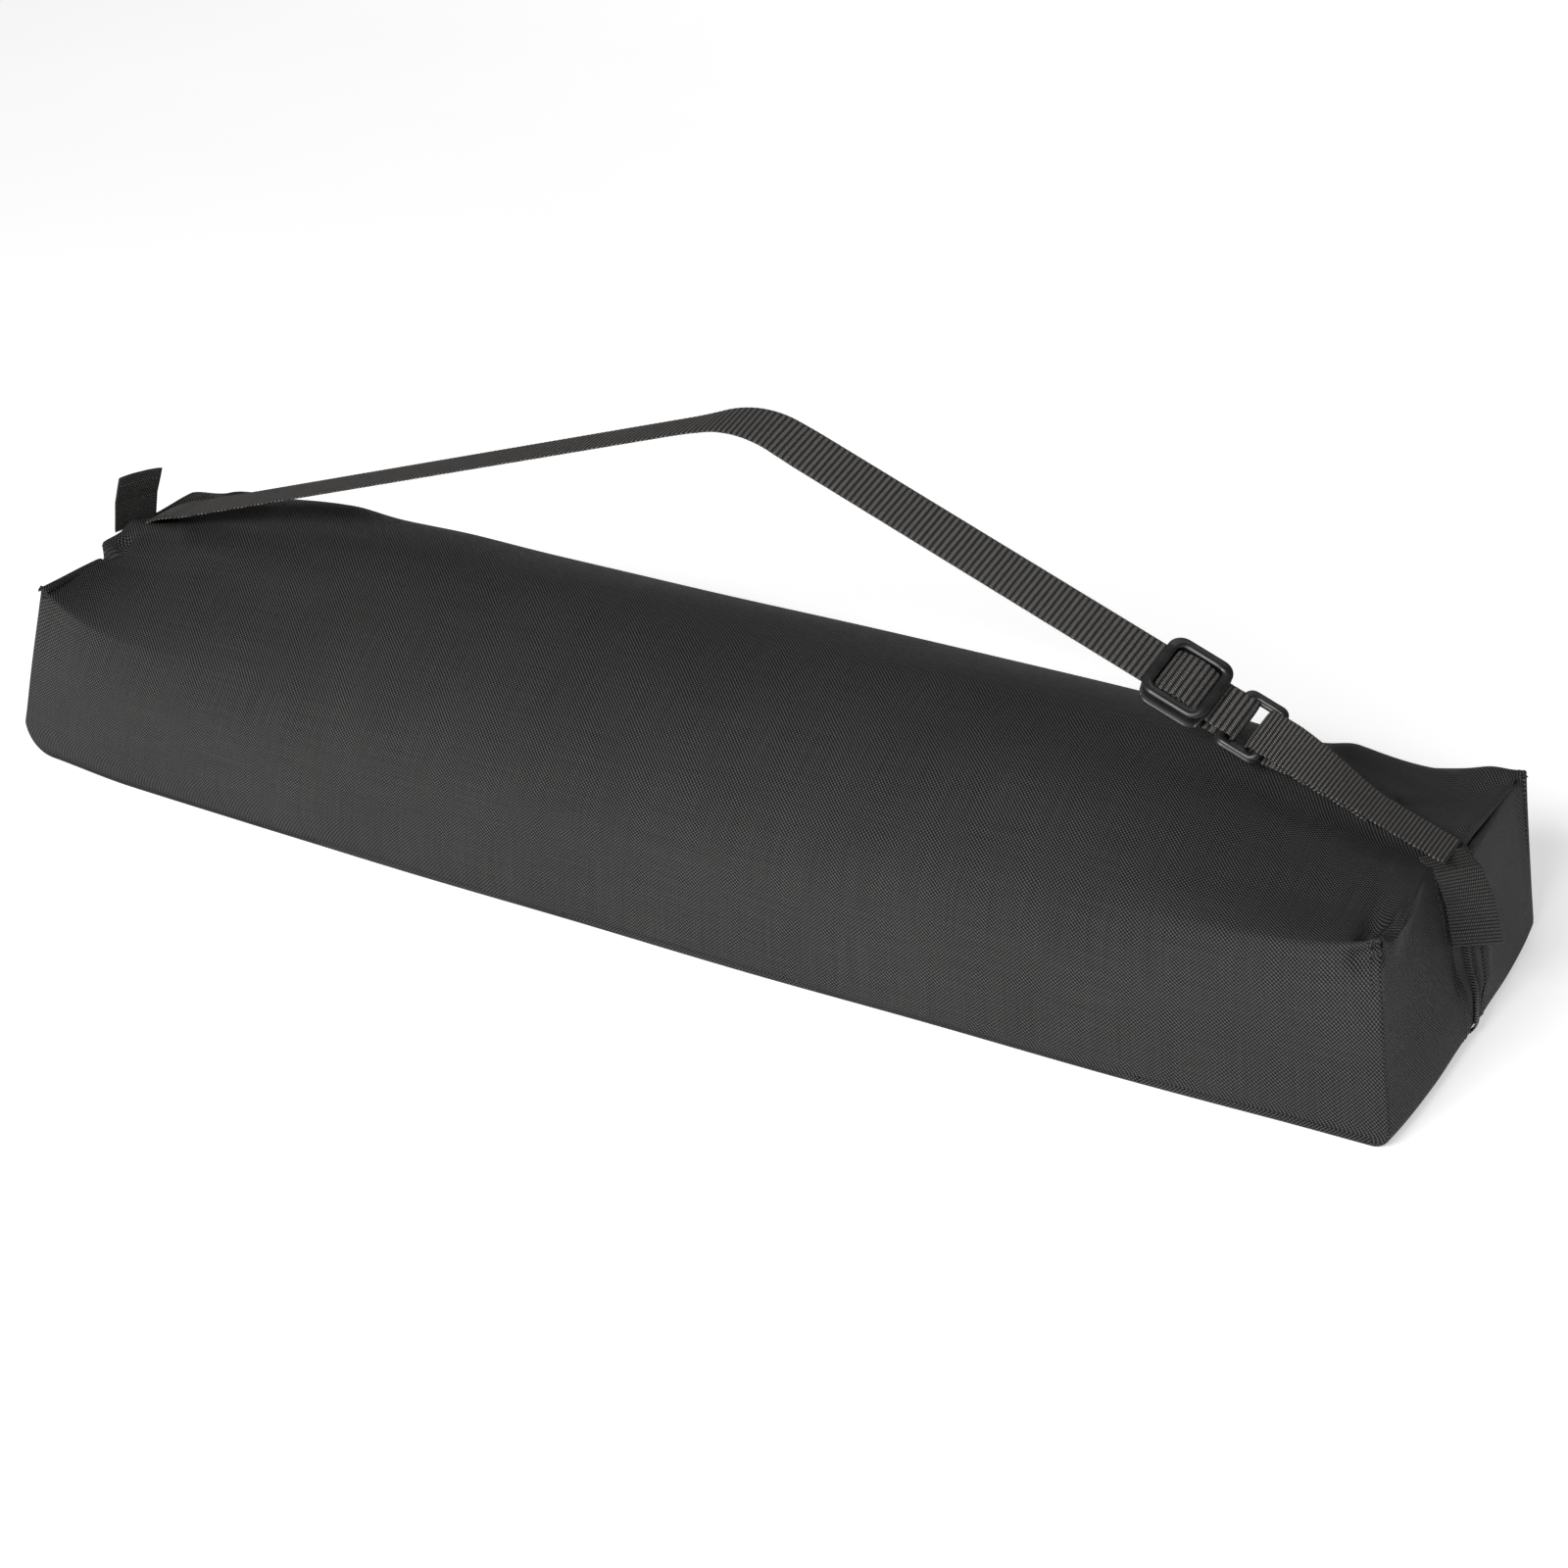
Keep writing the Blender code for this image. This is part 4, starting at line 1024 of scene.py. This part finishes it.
# ------------------------------------------------------------------ materials


class Look:
    """A material and short calls that add its nodes."""

    def __init__(self, name, colour, roughness, metallic=0.0):
        self.material = bpy.data.materials.new(name)
        self.material.use_nodes = True
        self.tree = self.material.node_tree
        self.shader = self.tree.nodes["Principled BSDF"]
        self.set("Base Color", (*colour, 1.0))
        self.set("Roughness", roughness)
        self.set("Metallic", metallic)

    def set(self, socket, value):
        self.shader.inputs[socket].default_value = value

    def link(self, source, target):
        self.tree.links.new(source, target)

    def math(self, operation, first, second=0.0, third=None):
        node = self.tree.nodes.new("ShaderNodeMath")
        node.operation = operation
        for index, value in enumerate((first, second, third)):
            if value is None:
                continue
            if isinstance(value, (int, float)):
                node.inputs[index].default_value = value
            else:
                self.link(value, node.inputs[index])
        return node.outputs[0]

    def cloth_uv(self):
        """The cloth's own coordinates, in metres: together, along it and across it."""
        node = self.tree.nodes.new("ShaderNodeUVMap")
        node.uv_map = "Cloth"
        split = self.tree.nodes.new("ShaderNodeSeparateXYZ")
        self.link(node.outputs[0], split.inputs[0])
        return node.outputs[0], split.outputs[0], split.outputs[1]

    def noise(self, scale, detail, vector=None, stretch=None):
        if vector is None:
            vector = self.tree.nodes.new("ShaderNodeTexCoord").outputs["Object"]
        if stretch is not None:
            mapping = self.tree.nodes.new("ShaderNodeMapping")
            mapping.inputs["Scale"].default_value = stretch
            self.link(vector, mapping.inputs[0])
            vector = mapping.outputs[0]
        node = self.tree.nodes.new("ShaderNodeTexNoise")
        node.inputs["Scale"].default_value = scale
        node.inputs["Detail"].default_value = detail
        self.link(vector, node.inputs["Vector"])
        return node.outputs[0]

    def wave(self, value, pitch):
        """A sine of value with that pitch, from 0 to 1."""
        turned = self.math("MULTIPLY", value, 2 * math.pi / pitch)
        return self.math("MULTIPLY_ADD", self.math("SINE", turned), 0.5, 0.5)

    def ramp(self, value, stops):
        node = self.tree.nodes.new("ShaderNodeValToRGB")
        while len(node.color_ramp.elements) < len(stops):
            node.color_ramp.elements.new(0.5)
        for element, (place, colour) in zip(node.color_ramp.elements, stops):
            element.position = place
            element.color = (*colour, 1.0)
        self.link(value, node.inputs[0])
        return node.outputs[0]

    def colour_from(self, value, stops):
        self.link(self.ramp(value, stops), self.shader.inputs["Base Color"])

    def roughness_from(self, value, low, high):
        spread = self.math("MULTIPLY_ADD", value, high - low, low)
        self.link(spread, self.shader.inputs["Roughness"])

    def bump(self, height, strength, distance):
        node = self.tree.nodes.new("ShaderNodeBump")
        node.inputs["Strength"].default_value = strength
        node.inputs["Distance"].default_value = distance
        self.link(height, node.inputs["Height"])
        self.link(node.outputs[0], self.shader.inputs["Normal"])


def grey(value, warmth=0.0):
    return (value * (1 + warmth), value, value * (1 - warmth))


FABRIC_GREY = 0.040
WEAVE_PITCH = 2.0 * MM


def oxford_look():
    """Woven polyester: raised yarns in slanting rows that cross, with streaks along both yarns."""
    look = Look("bag_oxford", grey(FABRIC_GREY), 0.62)
    look.set("Specular IOR Level", 0.10)
    vector, u, v = look.cloth_uv()
    wander = look.noise(60.0, 2.0)
    u = look.math("MULTIPLY_ADD", wander, 1.2 * MM, u)
    rising = look.wave(look.math("ADD", u, v), WEAVE_PITCH)
    falling = look.wave(look.math("SUBTRACT", u, v), WEAVE_PITCH)
    crossing = look.math("MULTIPLY_ADD", rising, 0.62, look.math("MULTIPLY", falling, 0.38))
    rows = look.math("MULTIPLY_ADD", look.wave(v, 0.5 * WEAVE_PITCH), 0.3, 0.85)
    crossing = look.math("MULTIPLY", crossing, rows)
    warp = look.noise(1.0, 2.0, vector, (18.0, 1500.0, 1.0))
    weft = look.noise(1.0, 2.0, vector, (1500.0, 18.0, 1.0))
    yarns = look.math("ADD", warp, weft)
    patches = look.noise(9.0, 4.0)
    height = look.math("MULTIPLY_ADD", yarns, 0.22, look.math("SUBTRACT", crossing, 0.14))
    tone = look.math("MULTIPLY_ADD", patches, 0.12, look.math("MULTIPLY", height, 0.72))
    look.colour_from(tone, [(0.16, grey(FABRIC_GREY * 0.10)), (0.50, grey(FABRIC_GREY * 0.75, 0.01)),
                            (0.86, grey(FABRIC_GREY * 3.2, 0.015))])
    look.roughness_from(patches, 0.50, 0.66)
    look.bump(height, 1.0, 0.6 * MM)
    return look.material


def webbing_look(name, rib, base, painted_highlight_gain):
    """Ribbed webbing: bright yarn spots where yarns turn over each rib, their brightest warm tone a painted
    highlight, and painted shade darkening the grooves between the ribs.
    """
    look = Look(name, grey(base), 0.6)
    look.set("Specular IOR Level", 0.4)
    vector, u, v = look.cloth_uv()
    turned = look.math("SINE", look.math("MULTIPLY", u, math.pi / rib))
    # painted shade: the colour darkens towards each groove between the ribs
    painted_groove_shade = look.math("POWER", look.math("ABSOLUTE", turned), 0.7)
    yarn = look.wave(look.math("ADD", v, look.math("MULTIPLY", u, 0.45)), 1.15 * MM)
    yarn_dots_and_painted_shade = look.math("MULTIPLY", painted_groove_shade, look.math("MULTIPLY_ADD", yarn, 0.75, 0.25))
    streak = look.noise(1.0, 2.0, vector, (900.0, 900.0, 1.0))
    tone = look.math("MULTIPLY_ADD", streak, 0.45, look.math("MULTIPLY", yarn_dots_and_painted_shade, 0.72))
    # the darkest stop is painted shade in the grooves, the brightest warm stop a painted highlight on the
    # yarns
    look.colour_from(tone, [(0.30, grey(base * 0.08)), (0.62, grey(base)),
                            (0.88, grey(base * painted_highlight_gain, 0.08))])
    look.bump(look.math("MULTIPLY_ADD", streak, 0.25, yarn_dots_and_painted_shade), 0.8, 0.5 * MM)
    look.roughness_from(streak, 0.48, 0.7)
    return look.material


def tape_look():
    look = Look("zip_tape_weave", grey(0.024), 0.8)
    _, u, v = look.cloth_uv()
    rib = look.wave(look.math("ADD", look.math("ABSOLUTE", v), u), 1.1 * MM)
    grain = look.noise(1400.0, 3.0)
    look.colour_from(look.math("MULTIPLY_ADD", rib, 0.6, look.math("MULTIPLY", grain, 0.4)),
                     [(0.2, grey(0.014)), (0.9, grey(0.040))])
    look.bump(rib, 0.5, 0.25 * MM)
    look.set("Sheen Weight", 0.1)
    return look.material


def binding_look():
    look = Look("binding_weave", grey(0.03), 0.8)
    grain = look.noise(1300.0, 3.0)
    threads = look.noise(1.0, 2.0, None, (1800.0, 200.0, 200.0))
    tone = look.math("MULTIPLY_ADD", grain, 0.5, look.math("MULTIPLY", threads, 0.5))
    look.colour_from(tone, [(0.3, grey(0.018)), (0.7, grey(0.045))])
    look.bump(tone, 0.5, 0.2 * MM)
    return look.material


def coil_look():
    look = Look("nylon_coil", grey(0.022), 0.34)
    wear = look.noise(900.0, 3.0)
    look.colour_from(wear, [(0.3, grey(0.015)), (0.75, grey(0.040))])
    look.roughness_from(wear, 0.28, 0.46)
    return look.material


def thread_look():
    look = Look("sewing_thread", grey(0.040), 0.6)
    twist = look.noise(2600.0, 2.0)
    look.colour_from(twist, [(0.3, grey(0.022)), (0.75, grey(0.060))])
    look.bump(twist, 0.4, 0.1 * MM)
    look.set("Sheen Weight", 0.15)
    return look.material


def plastic_look():
    """Satin moulded acetal with a fine spark texture, rubbed slightly brighter in places."""
    look = Look("satin_acetal", grey(0.018), 0.36)
    spark = look.noise(2200.0, 2.0)
    rub = look.noise(140.0, 5.0)
    look.colour_from(rub, [(0.35, grey(0.014)), (0.75, grey(0.024))])
    look.roughness_from(rub, 0.28, 0.46)
    look.bump(spark, 0.12, 0.08 * MM)
    look.set("Specular IOR Level", 0.5)
    return look.material


def metal_look():
    look = Look("black_lacquered_zinc", grey(0.05), 0.3, 0.75)
    wear = look.noise(420.0, 5.0)
    look.colour_from(wear, [(0.35, grey(0.030)), (0.62, grey(0.055)), (0.85, grey(0.16, 0.02))])
    look.roughness_from(wear, 0.24, 0.44)
    look.bump(wear, 0.08, 0.1 * MM)
    return look.material


def all_looks():
    return {
        "fabric": oxford_look(),
        # the last number of each webbing sets the strength of its painted highlight on the yarns
        "webbing": webbing_look("webbing_long", RIB_LONG, 0.023, 9.0),
        "anchor": webbing_look("webbing_anchor", RIB_FINE, 0.025, 9.0),
        "tab": webbing_look("webbing_tab", RIB_TAB, 0.016, 5.0),
        "tape": tape_look(),
        "binding": binding_look(),
        "coil": coil_look(),
        "thread": thread_look(),
        "plastic": plastic_look(),
        "metal": metal_look(),
    }


# ------------------------------------------------------------------ stage

CAMERA_PLACE = (0.6784, -1.1654, 0.7387)
CAMERA_BACK = (0.4310, -0.7743, 0.4633)
LENS = 66.2
FLOOR_SIZE = 12.0
FLOOR_GLOW = 0.53              # the floor is a lit table, so it bounces light onto the sides
SKY = 0.08
LIGHTS = (                     # name, place, what it points at, size and power
    ("key", (-0.2, -2.9, 1.95), (0.0, 0.0, 0.05), (1.8, 0.8), 128.0),
    ("backdrop", (0.0, 2.4, 2.2), (0.0, 3.0, 0.0), (4.0, 1.0), 30.0),
)


def camera():
    data = bpy.data.cameras.new("Camera")
    data.lens = LENS
    data.sensor_width = 36.0
    data.clip_start = 0.01
    obj = bpy.data.objects.new("Camera", data)
    obj.location = CAMERA_PLACE
    obj.rotation_mode = "QUATERNION"
    obj.rotation_quaternion = (-Vector(CAMERA_BACK)).to_track_quat("-Z", "Y")
    bpy.context.scene.collection.objects.link(obj)
    bpy.context.scene.camera = obj


def floor():
    look = Look("pale_floor", grey(0.86), 0.9)
    look.set("Emission Color", (1.0, 1.0, 1.0, 1.0))
    look.set("Emission Strength", FLOOR_GLOW)
    tone = look.noise(3.0, 2.0)
    look.colour_from(tone, [(0.2, grey(0.84)), (0.8, grey(0.88))])
    corners = FLOOR_SIZE * np.array([(-1, -1, 0), (1, -1, 0), (1, 1, 0), (-1, 1, 0)])
    obj = build_mesh("floor", corners, [(0, 1, 2, 3)], None, look.material, False)


def soft_light(name, place, aim, size, power):
    data = bpy.data.lights.new(name, "AREA")
    data.shape = "RECTANGLE"
    data.size, data.size_y = size
    data.energy = power
    obj = bpy.data.objects.new(name, data)
    obj.location = place
    obj.rotation_mode = "QUATERNION"
    obj.rotation_quaternion = (Vector(aim) - Vector(place)).to_track_quat("-Z", "Y")
    bpy.context.scene.collection.objects.link(obj)


def studio():
    world = bpy.data.worlds.new("studio")
    world.use_nodes = True
    sky = world.node_tree.nodes["Background"]
    sky.inputs["Color"].default_value = (*grey(1.0), 1.0)
    sky.inputs["Strength"].default_value = SKY
    bpy.context.scene.world = world
    bpy.context.scene.view_settings.view_transform = "Standard"
    for light in LIGHTS:
        soft_light(*light)


def build():
    looks = all_looks()
    wrap_panel(looks["fabric"])
    bindings(looks["binding"])
    gusset_ends(looks["fabric"])
    bottom_flaps(looks["fabric"])
    zip_pieces(looks)
    long_strap(looks["webbing"])
    anchor_webbing(looks["anchor"])
    return_layer(looks["webbing"])
    end_loop(looks["webbing"])
    hardware(looks["plastic"])
    tabs(looks)
    carried_over(looks["metal"])
    floor()
    camera()
    studio()


build()
